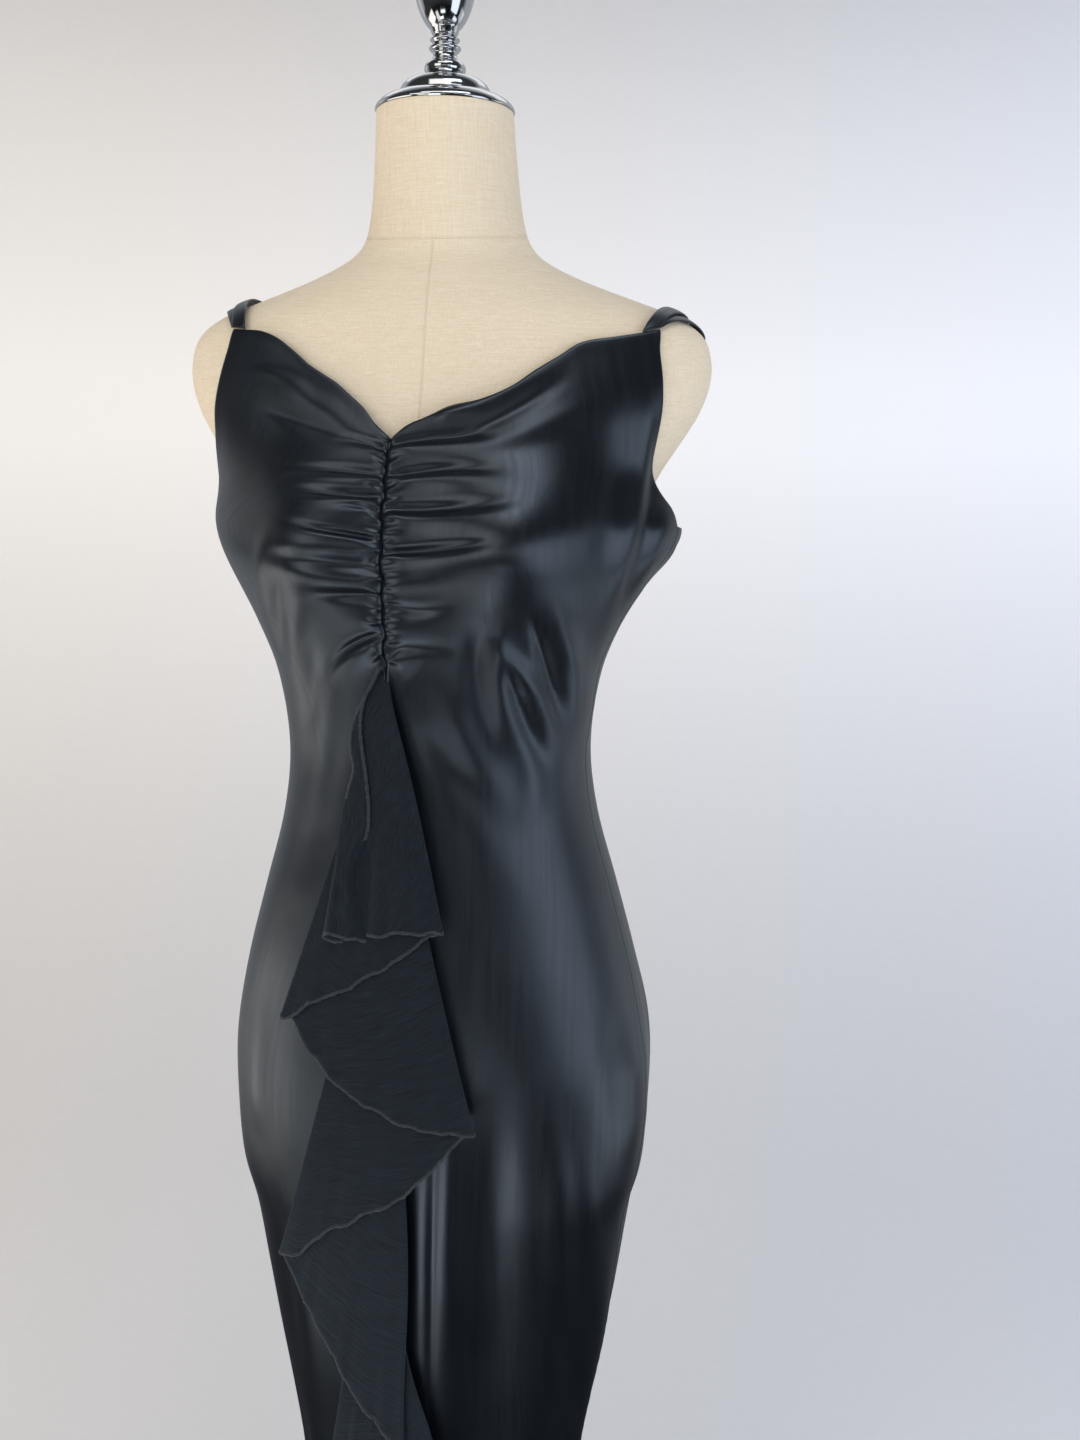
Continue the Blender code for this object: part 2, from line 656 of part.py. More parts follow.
def make_strap(strap, material, collection):
    """A flat band from the front's peak over the shoulder to the back's upper edge."""
    ends = []
    for u in (0.0, 0.5, 1.0):
        aside = (u - 0.5) * STRAP_WIDTH
        x, lift = strap_middle(strap, 0.0)
        z = front_top(x + aside) + STRAP_GAP
        start = turn_at(x + aside, z, lift - SATIN, radians(5), radians(70))
        x, lift = strap_middle(strap, 1.0)
        z = back_top(pi - angle_of(x + aside, BACK_EDGE)) + STRAP_GAP
        end = turn_at(x + aside, z, lift - SATIN, radians(150), radians(250))
        ends.append((start, end))

    def place(u, v, depth):
        start, end = ends[round(2 * u)]
        x, lift = strap_middle(strap, v)
        return strap_point(x + (u - 0.5) * STRAP_WIDTH, start + (end - start) * v, lift - depth)

    bm = cloth_wall(2, STRAP_ROWS, SATIN, place)
    return new_object(strap.name, bm, material, collection)


def make_form(name, material, collection):
    """The torso: neck, shoulders and hips lofted as one smooth closed body."""
    heights = [row.z for row in FORM_SECTIONS]

    def place(u, v):
        z = heights[round((1 - v) * (len(heights) - 1))]
        return body_point(FORM_SECTIONS, FORM_BUST, 2 * pi * u, z)

    bm = mapped_grid(FORM_COLUMNS, len(heights) - 1, place)
    bmesh.ops.remove_doubles(bm, verts=bm.verts, dist=0.00001)
    bmesh.ops.holes_fill(bm, edges=[edge for edge in bm.edges if edge.is_boundary])
    bmesh.ops.recalc_face_normals(bm, faces=bm.faces)
    return new_object(name, bm, material, collection)


def make_turned(name, profile, centre_y, material, collection):
    """A turned piece: its outline runs from the axis at the top to the axis below."""
    bm = bmesh.new()
    verts = [bm.verts.new((radius, 0.0, z)) for radius, z in profile]
    for above, below in zip(verts, verts[1:]):
        bm.edges.new((above, below))
    piece = new_object(name, bm, material, collection)
    piece.location.y = centre_y
    screw = piece.modifiers.new("turn", "SCREW")
    screw.steps = TURNED_STEPS
    screw.render_steps = TURNED_STEPS
    screw.use_merge_vertices = True
    screw.merge_threshold = 0.00001
    return piece


def make_material(name, color, roughness, metallic):
    material = bpy.data.materials.new(name)
    material.diffuse_color = (*color, 1.0)
    material.use_nodes = True
    shader = material.node_tree.nodes["Principled BSDF"]
    shader.inputs["Base Color"].default_value = (*color, 1.0)
    shader.inputs["Roughness"].default_value = roughness
    shader.inputs["Metallic"].default_value = metallic
    return material


def neck_cap_profile():
    """A stepped, domed disc that closes the neck."""
    rim = NECK_TOP + SEAM_GAP
    return [
        (0.0, rim + NECK_CAP_HEIGHT),
        (0.0170, rim + NECK_CAP_HEIGHT),
        (0.0270, rim + 0.0205),
        (0.0315, rim + 0.0165),
        (0.0335, rim + 0.0110),
        (0.0400, rim + 0.0095),
        (0.0460, rim + 0.0070),
        (0.0495, rim + 0.0035),
        (0.0505, rim + 0.0010),
        (0.0500, rim),
        (0.0, rim),
    ]


def finial_profile():
    """A ball, a ringed neck and an egg-shaped knob."""
    foot = NECK_TOP + NECK_CAP_HEIGHT + 2 * SEAM_GAP
    outline = []
    for degrees in (0, 25, 50, 75, 95, 115, 135, 155):
        rise = KNOB_TOP_RISE if degrees < 90 else KNOB_RISE
        radius = KNOB_RADIUS * sin(radians(degrees)) ** 0.9
        outline.append((radius, KNOB_Z + rise * cos(radians(degrees))))
    outline += [(0.0095, 0.0353), (0.0112, 0.0328), (0.0095, 0.0303), (0.0118, 0.0273), (0.0100, 0.0243)]
    for degrees in (50, 20, -20, -55):
        height = BALL_Z + BALL_HALF_HEIGHT * sin(radians(degrees))
        outline.append((BALL_RADIUS * cos(radians(degrees)), height))
    lowest = outline[-1][1]
    outline.append((0.0, lowest))
    return [(radius, foot + z - lowest) for radius, z in outline]


def base_profile():
    return [
        (0.0, BASE_HEIGHT + 0.020),
        (POLE_RADIUS + 0.006, BASE_HEIGHT + 0.020),
        (POLE_RADIUS + 0.010, BASE_HEIGHT + 0.014),
        (POLE_RADIUS + 0.012, BASE_HEIGHT),
        (BASE_RADIUS * 0.6, BASE_HEIGHT - 0.002),
        (BASE_RADIUS - 0.012, BASE_HEIGHT - 0.006),
        (BASE_RADIUS - 0.002, BASE_HEIGHT - 0.010),
        (BASE_RADIUS, BASE_HEIGHT - 0.013),
        (BASE_RADIUS, 0.0),
        (0.0, 0.0),
    ]


def pole_profile():
    top, foot = FORM_BOTTOM - SEAM_GAP, BASE_HEIGHT + 0.020 + SEAM_GAP
    return [(0.0, top), (POLE_RADIUS, top), (POLE_RADIUS, foot), (0.0, foot)]


def main():
    for old in list(bpy.data.objects):
        bpy.data.objects.remove(old)
    parts = bpy.data.collections.new("mermaid_dress_on_form")
    bpy.context.scene.collection.children.link(parts)

    satin = make_material("black_satin", (0.010, 0.012, 0.018), 0.32, 0.0)
    chiffon = make_material("black_chiffon", (0.012, 0.015, 0.019), 0.85, 0.0)
    linen = make_material("form_linen", (0.70, 0.62, 0.49), 0.85, 0.0)
    chrome = make_material("chrome", (0.75, 0.75, 0.76), 0.08, 1.0)

    make_front("front_right", 1, satin, parts)
    make_front("front_left", -1, satin, parts)
    make_back("back", satin, parts)
    for strap in STRAPS:
        make_strap(strap, satin, parts)
    make_ruffle("ruffle", chiffon, parts)
    make_form("form_body", linen, parts)
    make_turned("neck_cap", neck_cap_profile(), NECK_CENTRE, chrome, parts)
    make_turned("finial", finial_profile(), NECK_CENTRE, chrome, parts)
    make_turned("pole", pole_profile(), 0.0, chrome, parts)
    make_turned("base", base_profile(), 0.0, chrome, parts)


main()
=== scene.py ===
"""The look of a black satin mermaid dress, with a ruffle down its front, on a dress form.

Units are metres, +Z is up and the front of the dress faces -Y. Angles go round the
body from the front (-Y) towards +X. Each piece lies on its solid's form, made finer
and given its creases, gathers, seams, folded edges and thread.
"""

from collections import namedtuple
from math import atan, cos, pi, radians, sin

import bmesh
import bpy
import numpy as np
from mathutils import Matrix, Vector

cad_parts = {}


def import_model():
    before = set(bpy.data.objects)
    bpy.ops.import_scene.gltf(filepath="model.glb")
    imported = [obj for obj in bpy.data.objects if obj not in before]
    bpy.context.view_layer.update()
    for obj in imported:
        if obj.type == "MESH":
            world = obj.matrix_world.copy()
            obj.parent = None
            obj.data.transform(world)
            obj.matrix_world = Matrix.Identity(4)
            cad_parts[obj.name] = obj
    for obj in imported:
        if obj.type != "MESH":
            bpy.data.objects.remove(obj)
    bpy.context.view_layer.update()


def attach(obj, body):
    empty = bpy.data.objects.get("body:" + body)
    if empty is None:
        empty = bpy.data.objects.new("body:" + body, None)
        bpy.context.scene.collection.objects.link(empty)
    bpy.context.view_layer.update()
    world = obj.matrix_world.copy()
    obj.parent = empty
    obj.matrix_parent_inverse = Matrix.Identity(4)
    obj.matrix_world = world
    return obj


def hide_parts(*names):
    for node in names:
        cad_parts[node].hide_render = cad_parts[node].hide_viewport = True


# Heights
NECK_TOP = 1.490
UNDERARM = 1.200
RUCHING_END = 1.085
FORM_BOTTOM = 0.688
HEM = 0.165

# Cloth: how thick it is, on which side of its points its wall lies, and where it is joined
SATIN = 0.0012
CHIFFON = 0.0010
INWARD = -1.0
CENTRED = 0.0
SEAM_GAP = 0.0003
CENTRE_GAP = 0.0001
CENTRE_SEAM_X = -0.018
STRAP_WIDTH = 0.0115
BACK_EDGE = 1.200
BACK_DIP = 0.010

# Overlock thread: half its width and depth, and how it is wound round the edge
THREAD_WIDTH = 0.0013
THREAD_DEPTH = 0.0009
THREAD_INSET = 0.35
THREAD_SIDES = 8
STITCH_LENGTH = 0.0023
STITCH_HEIGHT = 0.20

# Stand and fittings
BASE_RADIUS = 0.165
BASE_HEIGHT = 0.016
POLE_RADIUS = 0.0125
POLE_BEVEL = 0.0008
COLLAR_HEIGHT = 0.020
NECK_CENTRE = 0.022
NECK_CAP_HEIGHT = 0.0225
BALL_RADIUS = 0.0150
BALL_HALF_HEIGHT = 0.0080
BALL_Z = 0.0138
KNOB_RADIUS = 0.0225
KNOB_Z = 0.0763
KNOB_RISE = 0.0400
KNOB_TOP_RISE = 0.0280
TURNED_STEPS = 128

# Cells of the cloth, close where it is gathered or folded over
FRONT_CELLS = 104
BACK_CELLS = 150
HEM_CELLS = 22
SKIRT_CELLS = 150
RUCHED_CELLS = 130
TOP_CELLS = 96
BACK_TOP_CELLS = 66
HEM_DEPTH = 0.022
FRONT_CLOSENESS = 0.50
BACK_CLOSENESS = 0.35
TOP_CLOSENESS = 1.3
HEM_CLOSENESS = 1.15
FORM_ROWS = 400
FORM_CELLS = 144

# How near each other points are merged, and how often a place is narrowed down
FINE_MERGE = 0.000005
FORM_MERGE = 0.00001
ROOM_MERGE = 0.0001
SHOULDER_HALVINGS = 34
STRAP_HALVINGS = 30
NECKLINE_ROUNDS = 5

Section = namedtuple("Section", "z half_width front back middle square")

FORM_SECTIONS = [
    Section(1.490, 0.0495, 0.0275, 0.0715, 0.022, 2.00),
    Section(1.455, 0.0520, 0.0265, 0.0770, 0.026, 2.00),
    Section(1.420, 0.0560, 0.0250, 0.0830, 0.029, 2.00),
    Section(1.400, 0.0620, 0.0240, 0.0860, 0.031, 2.00),
    Section(1.388, 0.0740, 0.0260, 0.0880, 0.032, 2.05),
    Section(1.374, 0.1020, 0.0340, 0.0910, 0.032, 2.10),
    Section(1.360, 0.1400, 0.0410, 0.0940, 0.032, 2.10),
    Section(1.348, 0.1720, 0.0460, 0.0960, 0.032, 2.15),
    Section(1.335, 0.1900, 0.0500, 0.0980, 0.032, 2.20),
    Section(1.318, 0.1965, 0.0550, 0.1000, 0.031, 2.20),
    Section(1.300, 0.1960, 0.0600, 0.1010, 0.030, 2.25),
    Section(1.280, 0.1890, 0.0660, 0.1020, 0.028, 2.30),
    Section(1.260, 0.1770, 0.0720, 0.1020, 0.024, 2.30),
    Section(1.240, 0.1640, 0.0780, 0.1010, 0.018, 2.30),
    Section(1.220, 0.1540, 0.0830, 0.1000, 0.012, 2.30),
    Section(1.200, 0.1490, 0.0880, 0.0990, 0.008, 2.30),
    Section(1.170, 0.1450, 0.0930, 0.0970, 0.005, 2.30),
    Section(1.130, 0.1290, 0.0920, 0.0930, 0.003, 2.30),
    Section(1.090, 0.1160, 0.0890, 0.0870, 0.002, 2.30),
    Section(1.033, 0.1090, 0.0840, 0.0810, 0.001, 2.30),
    Section(0.980, 0.1150, 0.0860, 0.0880, 0.002, 2.30),
    Section(0.920, 0.1320, 0.0920, 0.1020, 0.003, 2.30),
    Section(0.860, 0.1480, 0.0980, 0.1140, 0.003, 2.30),
    Section(0.800, 0.1580, 0.1020, 0.1210, 0.003, 2.30),
    Section(0.750, 0.1590, 0.1030, 0.1230, 0.002, 2.30),
    Section(0.710, 0.1560, 0.1010, 0.1200, 0.002, 2.30),
    Section(0.694, 0.1530, 0.0990, 0.1170, 0.002, 2.30),
    Section(0.688, 0.1480, 0.0940, 0.1120, 0.002, 2.30),
]

DRESS_SECTIONS = [
    Section(1.345, 0.1880, 0.0530, 0.1020, 0.032, 2.20),
    Section(1.335, 0.1945, 0.0560, 0.1030, 0.032, 2.20),
    Section(1.318, 0.2010, 0.0610, 0.1040, 0.031, 2.20),
    Section(1.300, 0.2005, 0.0670, 0.1050, 0.030, 2.25),
    Section(1.280, 0.1935, 0.0740, 0.1060, 0.028, 2.30),
    Section(1.260, 0.1820, 0.0810, 0.1060, 0.024, 2.30),
    Section(1.240, 0.1710, 0.0890, 0.1050, 0.018, 2.30),
    Section(1.220, 0.1680, 0.0960, 0.1045, 0.012, 2.30),
    Section(1.200, 0.1690, 0.1010, 0.1040, 0.008, 2.30),
    Section(1.175, 0.1620, 0.1040, 0.1020, 0.005, 2.30),
    Section(1.130, 0.1385, 0.1030, 0.0980, 0.003, 2.30),
    Section(1.090, 0.1225, 0.0990, 0.0920, 0.002, 2.30),
    Section(1.033, 0.1150, 0.0920, 0.0860, 0.001, 2.30),
    Section(0.980, 0.1210, 0.0930, 0.0930, 0.002, 2.30),
    Section(0.920, 0.1375, 0.0980, 0.1070, 0.003, 2.30),
    Section(0.860, 0.1535, 0.1040, 0.1190, 0.003, 2.30),
    Section(0.800, 0.1645, 0.1080, 0.1265, 0.003, 2.30),
    Section(0.750, 0.1655, 0.1090, 0.1285, 0.002, 2.30),
    Section(0.695, 0.1625, 0.1075, 0.1250, 0.002, 2.30),
    Section(0.660, 0.1530, 0.1055, 0.1190, 0.002, 2.30),
    Section(0.600, 0.1440, 0.1010, 0.1120, 0.001, 2.25),
    Section(0.540, 0.1350, 0.0955, 0.1050, 0.000, 2.20),
    Section(0.480, 0.1245, 0.0897, 0.0980, 0.000, 2.20),
    Section(0.420, 0.1150, 0.0860, 0.0930, 0.000, 2.15),
    Section(0.380, 0.1120, 0.0860, 0.0920, 0.000, 2.10),
    Section(0.340, 0.1150, 0.0900, 0.0950, 0.000, 2.10),
    Section(0.290, 0.1270, 0.1010, 0.1060, 0.000, 2.05),
    Section(0.230, 0.1460, 0.1190, 0.1240, 0.000, 2.00),
    Section(0.165, 0.1680, 0.1400, 0.1450, 0.000, 2.00),
]
# How far the bends of each table are eased, in millimetres
FORM_EASE = 3
DRESS_EASE = 8
MILLIMETRE = 0.001

# Bust: two soft mounds on each side of the centre
Bust = namedtuple("Bust", "x z spread_x spread_z height")
FORM_BUST = Bust(0.076, 1.188, 0.042, 0.048, 0.028)
DRESS_BUST = Bust(0.076, 1.188, 0.046, 0.050, 0.024)

# Heights of the front neckline, by share of the way from the centre seam to the armhole
Neckline = namedtuple("Neckline", "share right left")
NECKLINE = [
    Neckline(0.00, 1.2590, 1.2590),
    Neckline(0.07, 1.2705, 1.2730),
    Neckline(0.14, 1.2800, 1.2845),
    Neckline(0.23, 1.2845, 1.2955),
    Neckline(0.33, 1.2930, 1.3040),
    Neckline(0.42, 1.3040, 1.3110),
    Neckline(0.52, 1.3150, 1.3200),
    Neckline(0.62, 1.3250, 1.3280),
    Neckline(0.75, 1.3290, 1.3335),
    Neckline(0.88, 1.3325, 1.3350),
    Neckline(1.00, 1.3360, 1.3360),
]

# The armhole, in degrees from the front, down to the side seams
Armhole = namedtuple("Armhole", "z right left")
ARMHOLE = [
    Armhole(1.336, 55.0, 47.0),
    Armhole(1.320, 52.5, 46.5),
    Armhole(1.300, 53.5, 48.5),
    Armhole(1.280, 56.5, 53.0),
    Armhole(1.260, 61.0, 60.0),
    Armhole(1.240, 67.0, 72.0),
    Armhole(1.220, 74.0, 88.0),
    Armhole(1.200, 80.0, 100.0),
]
# Shares that turn an angle or a height beside a front's edge into the way to that edge
ARC_SHARE = 0.9
NECKLINE_SLOPE = 0.85

# Where the back panel begins and ends
BACK_START = radians(ARMHOLE[-1].right)
BACK_END = 2 * pi - radians(ARMHOLE[-1].left)

# Slack cloth that stands off the form below each armhole
Slack = namedtuple("Slack", "degrees z spread spread_z height")
SLACKS = [
    Slack(86, 1.197, 24, 0.028, 0.0115),
    Slack(-98, 1.200, 24, 0.030, 0.0040),
]

# Flutes in the skirt where it hangs free below the form
Flute = namedtuple("Flute", "degrees spread depth")
FLUTES = [
    Flute(-152, 11, 0.016),
    Flute(-118, 10, 0.018),
    Flute(-82, 10, 0.016),
    Flute(-46, 10, 0.017),
    Flute(3, 9, 0.014),
    Flute(38, 10, 0.018),
    Flute(72, 10, 0.016),
    Flute(108, 10, 0.018),
    Flute(143, 11, 0.017),
    Flute(176, 11, 0.019),
]
FLUTE_TOP = 0.700
FLUTE_GROWTH = 1.7

# Creases run through three places. A height below zero is a trough.
Crease = namedtuple("Crease", "x0 z0 x1 z1 x2 z2 height width")

# Ruching left of the centre seam, from the neckline down
LEFT_RUCHING = [
    Crease(-0.021, 1.256, -0.046, 1.264, -0.076, 1.281, 0.0014, 0.0096),
    Crease(-0.020, 1.250, -0.037, 1.256, -0.061, 1.258, -0.0023, 0.0031),
    Crease(-0.020, 1.242, -0.050, 1.248, -0.094, 1.248, 0.0019, 0.0096),
    Crease(-0.020, 1.234, -0.048, 1.237, -0.111, 1.236, -0.0029, 0.0034),
    Crease(-0.020, 1.228, -0.052, 1.231, -0.104, 1.228, 0.0019, 0.0083),
    Crease(-0.020, 1.220, -0.048, 1.222, -0.100, 1.226, -0.0041, 0.0032),
    Crease(-0.020, 1.214, -0.048, 1.216, -0.100, 1.208, 0.0021, 0.0083),
    Crease(-0.020, 1.210, -0.038, 1.214, -0.061, 1.212, -0.0019, 0.0024),
    Crease(-0.020, 1.206, -0.042, 1.208, -0.070, 1.206, 0.0014, 0.0079),
    Crease(-0.020, 1.192, -0.047, 1.197, -0.098, 1.205, -0.0035, 0.0022),
    Crease(-0.020, 1.187, -0.052, 1.191, -0.118, 1.193, 0.0020, 0.0092),
    Crease(-0.020, 1.173, -0.057, 1.176, -0.116, 1.183, -0.0037, 0.0060),
    Crease(-0.020, 1.164, -0.058, 1.165, -0.116, 1.172, 0.0019, 0.0105),
    Crease(-0.020, 1.154, -0.043, 1.154, -0.082, 1.155, -0.0023, 0.0042),
    Crease(-0.020, 1.137, -0.040, 1.139, -0.070, 1.143, 0.0014, 0.0115),
    Crease(-0.020, 1.122, -0.040, 1.109, -0.059, 1.087, 0.0030, 0.0100),
    Crease(-0.021, 1.127, -0.049, 1.112, -0.068, 1.085, -0.0033, 0.0036),
]

# Ruching right of the centre seam, from the neckline down
RIGHT_RUCHING = [
    Crease(-0.015, 1.261, 0.006, 1.270, 0.066, 1.272, 0.0020, 0.0096),
    Crease(0.014, 1.274, 0.042, 1.278, 0.082, 1.289, 0.0014, 0.0083),
    Crease(-0.015, 1.255, 0.017, 1.260, 0.068, 1.261, -0.0029, 0.0036),
    Crease(-0.015, 1.248, 0.013, 1.251, 0.080, 1.242, 0.0021, 0.0109),
    Crease(-0.015, 1.234, 0.010, 1.238, 0.068, 1.237, -0.0037, 0.0032),
    Crease(-0.015, 1.228, 0.024, 1.231, 0.089, 1.231, 0.0021, 0.0070),
    Crease(-0.015, 1.212, 0.021, 1.213, 0.086, 1.222, -0.0046, 0.0042),
    Crease(-0.015, 1.206, -0.001, 1.207, 0.012, 1.206, 0.0013, 0.0055),
    Crease(-0.015, 1.199, 0.027, 1.203, 0.084, 1.209, 0.0025, 0.0129),
    Crease(-0.015, 1.183, 0.022, 1.186, 0.077, 1.196, -0.0041, 0.0034),
    Crease(-0.015, 1.171, 0.027, 1.176, 0.089, 1.189, 0.0021, 0.0109),
    Crease(-0.015, 1.160, 0.012, 1.163, 0.061, 1.169, 0.0014, 0.0070),
    Crease(-0.015, 1.148, 0.001, 1.145, 0.039, 1.153, -0.0017, 0.0040),
    Crease(-0.015, 1.132, 0.003, 1.133, 0.034, 1.139, 0.0010, 0.0092),
    Crease(-0.015, 1.117, 0.007, 1.119, 0.043, 1.117, -0.0011, 0.0045),
    Crease(-0.014, 1.111, -0.003, 1.108, 0.001, 1.096, 0.0020, 0.0092),
]

# Drag folds from the bust to the waist, under the arms, on the hips and on the skirt
BODY_CREASES = [
    Crease(-0.118, 1.296, -0.072, 1.281, -0.030, 1.258, 0.0017, 0.0080),
    Crease(-0.115, 1.279, -0.068, 1.264, -0.034, 1.252, -0.0013, 0.0050),
    Crease(-0.124, 1.306, -0.098, 1.299, -0.070, 1.284, 0.0012, 0.0048),
    Crease(0.000, 1.266, 0.045, 1.284, 0.100, 1.316, 0.0017, 0.0060),
    Crease(0.015, 1.257, 0.067, 1.279, 0.110, 1.311, -0.0017, 0.0050),
    Crease(0.038, 1.253, 0.078, 1.265, 0.125, 1.289, 0.0013, 0.0075),
    Crease(0.063, 1.134, 0.058, 1.095, 0.078, 1.034, 0.0046, 0.0098),
    Crease(0.074, 1.052, 0.081, 1.020, 0.078, 0.980, 0.0018, 0.0080),
    Crease(0.060, 1.122, 0.080, 1.090, 0.107, 1.032, 0.0031, 0.0075),
    Crease(0.098, 1.150, 0.108, 1.090, 0.106, 1.022, 0.0044, 0.0090),
    Crease(0.066, 1.106, 0.075, 1.071, 0.096, 1.018, -0.0026, 0.0046),
    Crease(0.084, 1.140, 0.095, 1.087, 0.103, 1.036, -0.0032, 0.0044),
    Crease(0.046, 1.134, 0.048, 1.095, 0.063, 1.040, -0.0028, 0.0103),
    Crease(-0.010, 1.092, 0.020, 1.033, 0.078, 0.915, 0.0026, 0.0172),
    Crease(0.018, 1.092, 0.038, 1.049, 0.076, 0.984, 0.0018, 0.0092),
    Crease(0.010, 1.064, 0.029, 1.027, 0.048, 1.000, -0.0018, 0.0092),
    Crease(-0.058, 1.098, -0.067, 1.046, -0.100, 0.940, 0.0020, 0.0110),
    Crease(-0.071, 1.116, -0.078, 1.077, -0.085, 1.042, -0.0013, 0.0062),
    Crease(-0.053, 1.074, -0.070, 1.006, -0.087, 0.924, -0.0015, 0.0103),
    Crease(-0.098, 1.200, -0.109, 1.156, -0.110, 1.100, 0.0017, 0.0085),
    Crease(-0.077, 1.152, -0.089, 1.112, -0.092, 1.070, 0.0018, 0.0080),
    Crease(-0.089, 1.170, -0.099, 1.130, -0.098, 1.092, -0.0013, 0.0058),
    Crease(0.158, 1.300, 0.147, 1.200, 0.124, 1.090, 0.0021, 0.0070),
    Crease(0.167, 1.228, 0.155, 1.178, 0.132, 1.115, 0.0024, 0.0048),
    Crease(0.161, 1.265, 0.151, 1.192, 0.129, 1.112, -0.0026, 0.0042),
    Crease(0.139, 1.285, 0.131, 1.190, 0.114, 1.100, -0.0015, 0.0080),
    Crease(0.142, 0.845, 0.148, 0.791, 0.151, 0.738, -0.0026, 0.0103),
    Crease(0.156, 0.812, 0.161, 0.757, 0.157, 0.700, 0.0024, 0.0092),
    Crease(0.010, 0.790, 0.005, 0.625, 0.000, 0.400, 0.0046, 0.0098),
    Crease(0.027, 0.810, 0.023, 0.626, 0.018, 0.400, 0.0046, 0.0098),
    Crease(0.018, 0.775, 0.013, 0.626, 0.008, 0.420, -0.0014, 0.0024),
    Crease(0.062, 0.800, 0.059, 0.640, 0.058, 0.450, -0.0060, 0.0210),
    Crease(0.104, 0.760, 0.108, 0.653, 0.106, 0.560, 0.0028, 0.0103),
    Crease(0.094, 0.590, 0.099, 0.528, 0.084, 0.460, 0.0026, 0.0103),
    Crease(0.126, 0.730, 0.132, 0.600, 0.120, 0.440, 0.0024, 0.0092),
    Crease(-0.124, 0.840, -0.129, 0.780, -0.129, 0.720, 0.0022, 0.0103),
    Crease(-0.096, 0.700, -0.094, 0.600, -0.080, 0.470, 0.0026, 0.0115),
    Crease(-0.112, 0.660, -0.108, 0.580, -0.100, 0.500, -0.0022, 0.0092),
    Crease(0.070, 0.420, 0.078, 0.340, 0.090, 0.230, 0.0024, 0.0103),
    Crease(-0.070, 0.420, -0.076, 0.330, -0.090, 0.220, 0.0026, 0.0115),
]

# Creases round the sides and the back, by degrees from the front
SIDE_CREASES = [
    Crease(83, 1.190, 93, 1.158, 99, 1.108, 0.0024, 0.0060),
    Crease(90, 1.192, 108, 1.170, 122, 1.128, 0.0022, 0.0070),
    Crease(87, 1.180, 96, 1.148, 101, 1.096, -0.0018, 0.0050),
    Crease(-101, 1.188, -108, 1.160, -112, 1.112, 0.0022, 0.0065),
    Crease(-106, 1.190, -121, 1.166, -133, 1.122, 0.0018, 0.0070),
    Crease(118, 1.066, 148, 1.056, 179, 1.063, 0.0022, 0.0060),
    Crease(122, 1.054, 150, 1.044, 172, 1.049, -0.0020, 0.0050),
    Crease(-165, 1.038, -139, 1.030, -112, 1.043, 0.0022, 0.0065),
    Crease(-158, 1.050, -140, 1.044, -118, 1.052, -0.0018, 0.0050),
    Crease(104, 1.010, 122, 0.950, 139, 0.868, 0.0020, 0.0110),
    Crease(-104, 1.004, -124, 0.948, -144, 0.880, 0.0020, 0.0120),
    Crease(151, 0.960, 158, 0.880, 160, 0.800, 0.0018, 0.0120),
    Crease(-152, 0.940, -158, 0.860, -162, 0.770, 0.0018, 0.0120),
    Crease(96, 0.860, 99, 0.780, 98, 0.690, 0.0020, 0.0090),
    Crease(-98, 0.850, -101, 0.770, -100, 0.680, 0.0020, 0.0090),
    Crease(160, 0.720, 164, 0.610, 162, 0.480, 0.0030, 0.0090),
    Crease(171, 0.700, 174, 0.610, 172, 0.500, -0.0024, 0.0080),
    Crease(-163, 0.730, -166, 0.620, -164, 0.500, 0.0028, 0.0100),
    Crease(124, 0.710, 127, 0.600, 125, 0.470, 0.0028, 0.0100),
    Crease(-128, 0.700, -131, 0.600, -129, 0.480, 0.0028, 0.0090),
    Crease(-95, 0.690, -97, 0.600, -96, 0.500, 0.0022, 0.0080),
    Crease(93, 0.700, 95, 0.600, 94, 0.490, 0.0022, 0.0080),
]
METRES_PER_DEGREE = 0.0023

# Small even waves: how high, how many radians to the metre, and where each begins
Wave = namedtuple("Wave", "height rate start")
SEAM_WANDER = [Wave(0.0006, 330, 0.6), Wave(0.0005, 205, 2.1)]
SEAM_PUCKERS = [Wave(1.0, 520, 0.0), Wave(0.7, 337, 1.0), Wave(0.6, 811, 2.0)]
HEM_WAVES = [Wave(0.0006, 190, 0.0), Wave(0.0005, 297, 1.3), Wave(0.0003, 461, 0.4)]
HEM_DROOPS = [Wave(0.0010, 121, 0.5), Wave(0.0008, 214, 2.0), Wave(0.0004, 388, 0.0)]
STITCH_WAVES = [Wave(0.12, 610, 0.0), Wave(0.08, 1130, 1.0)]

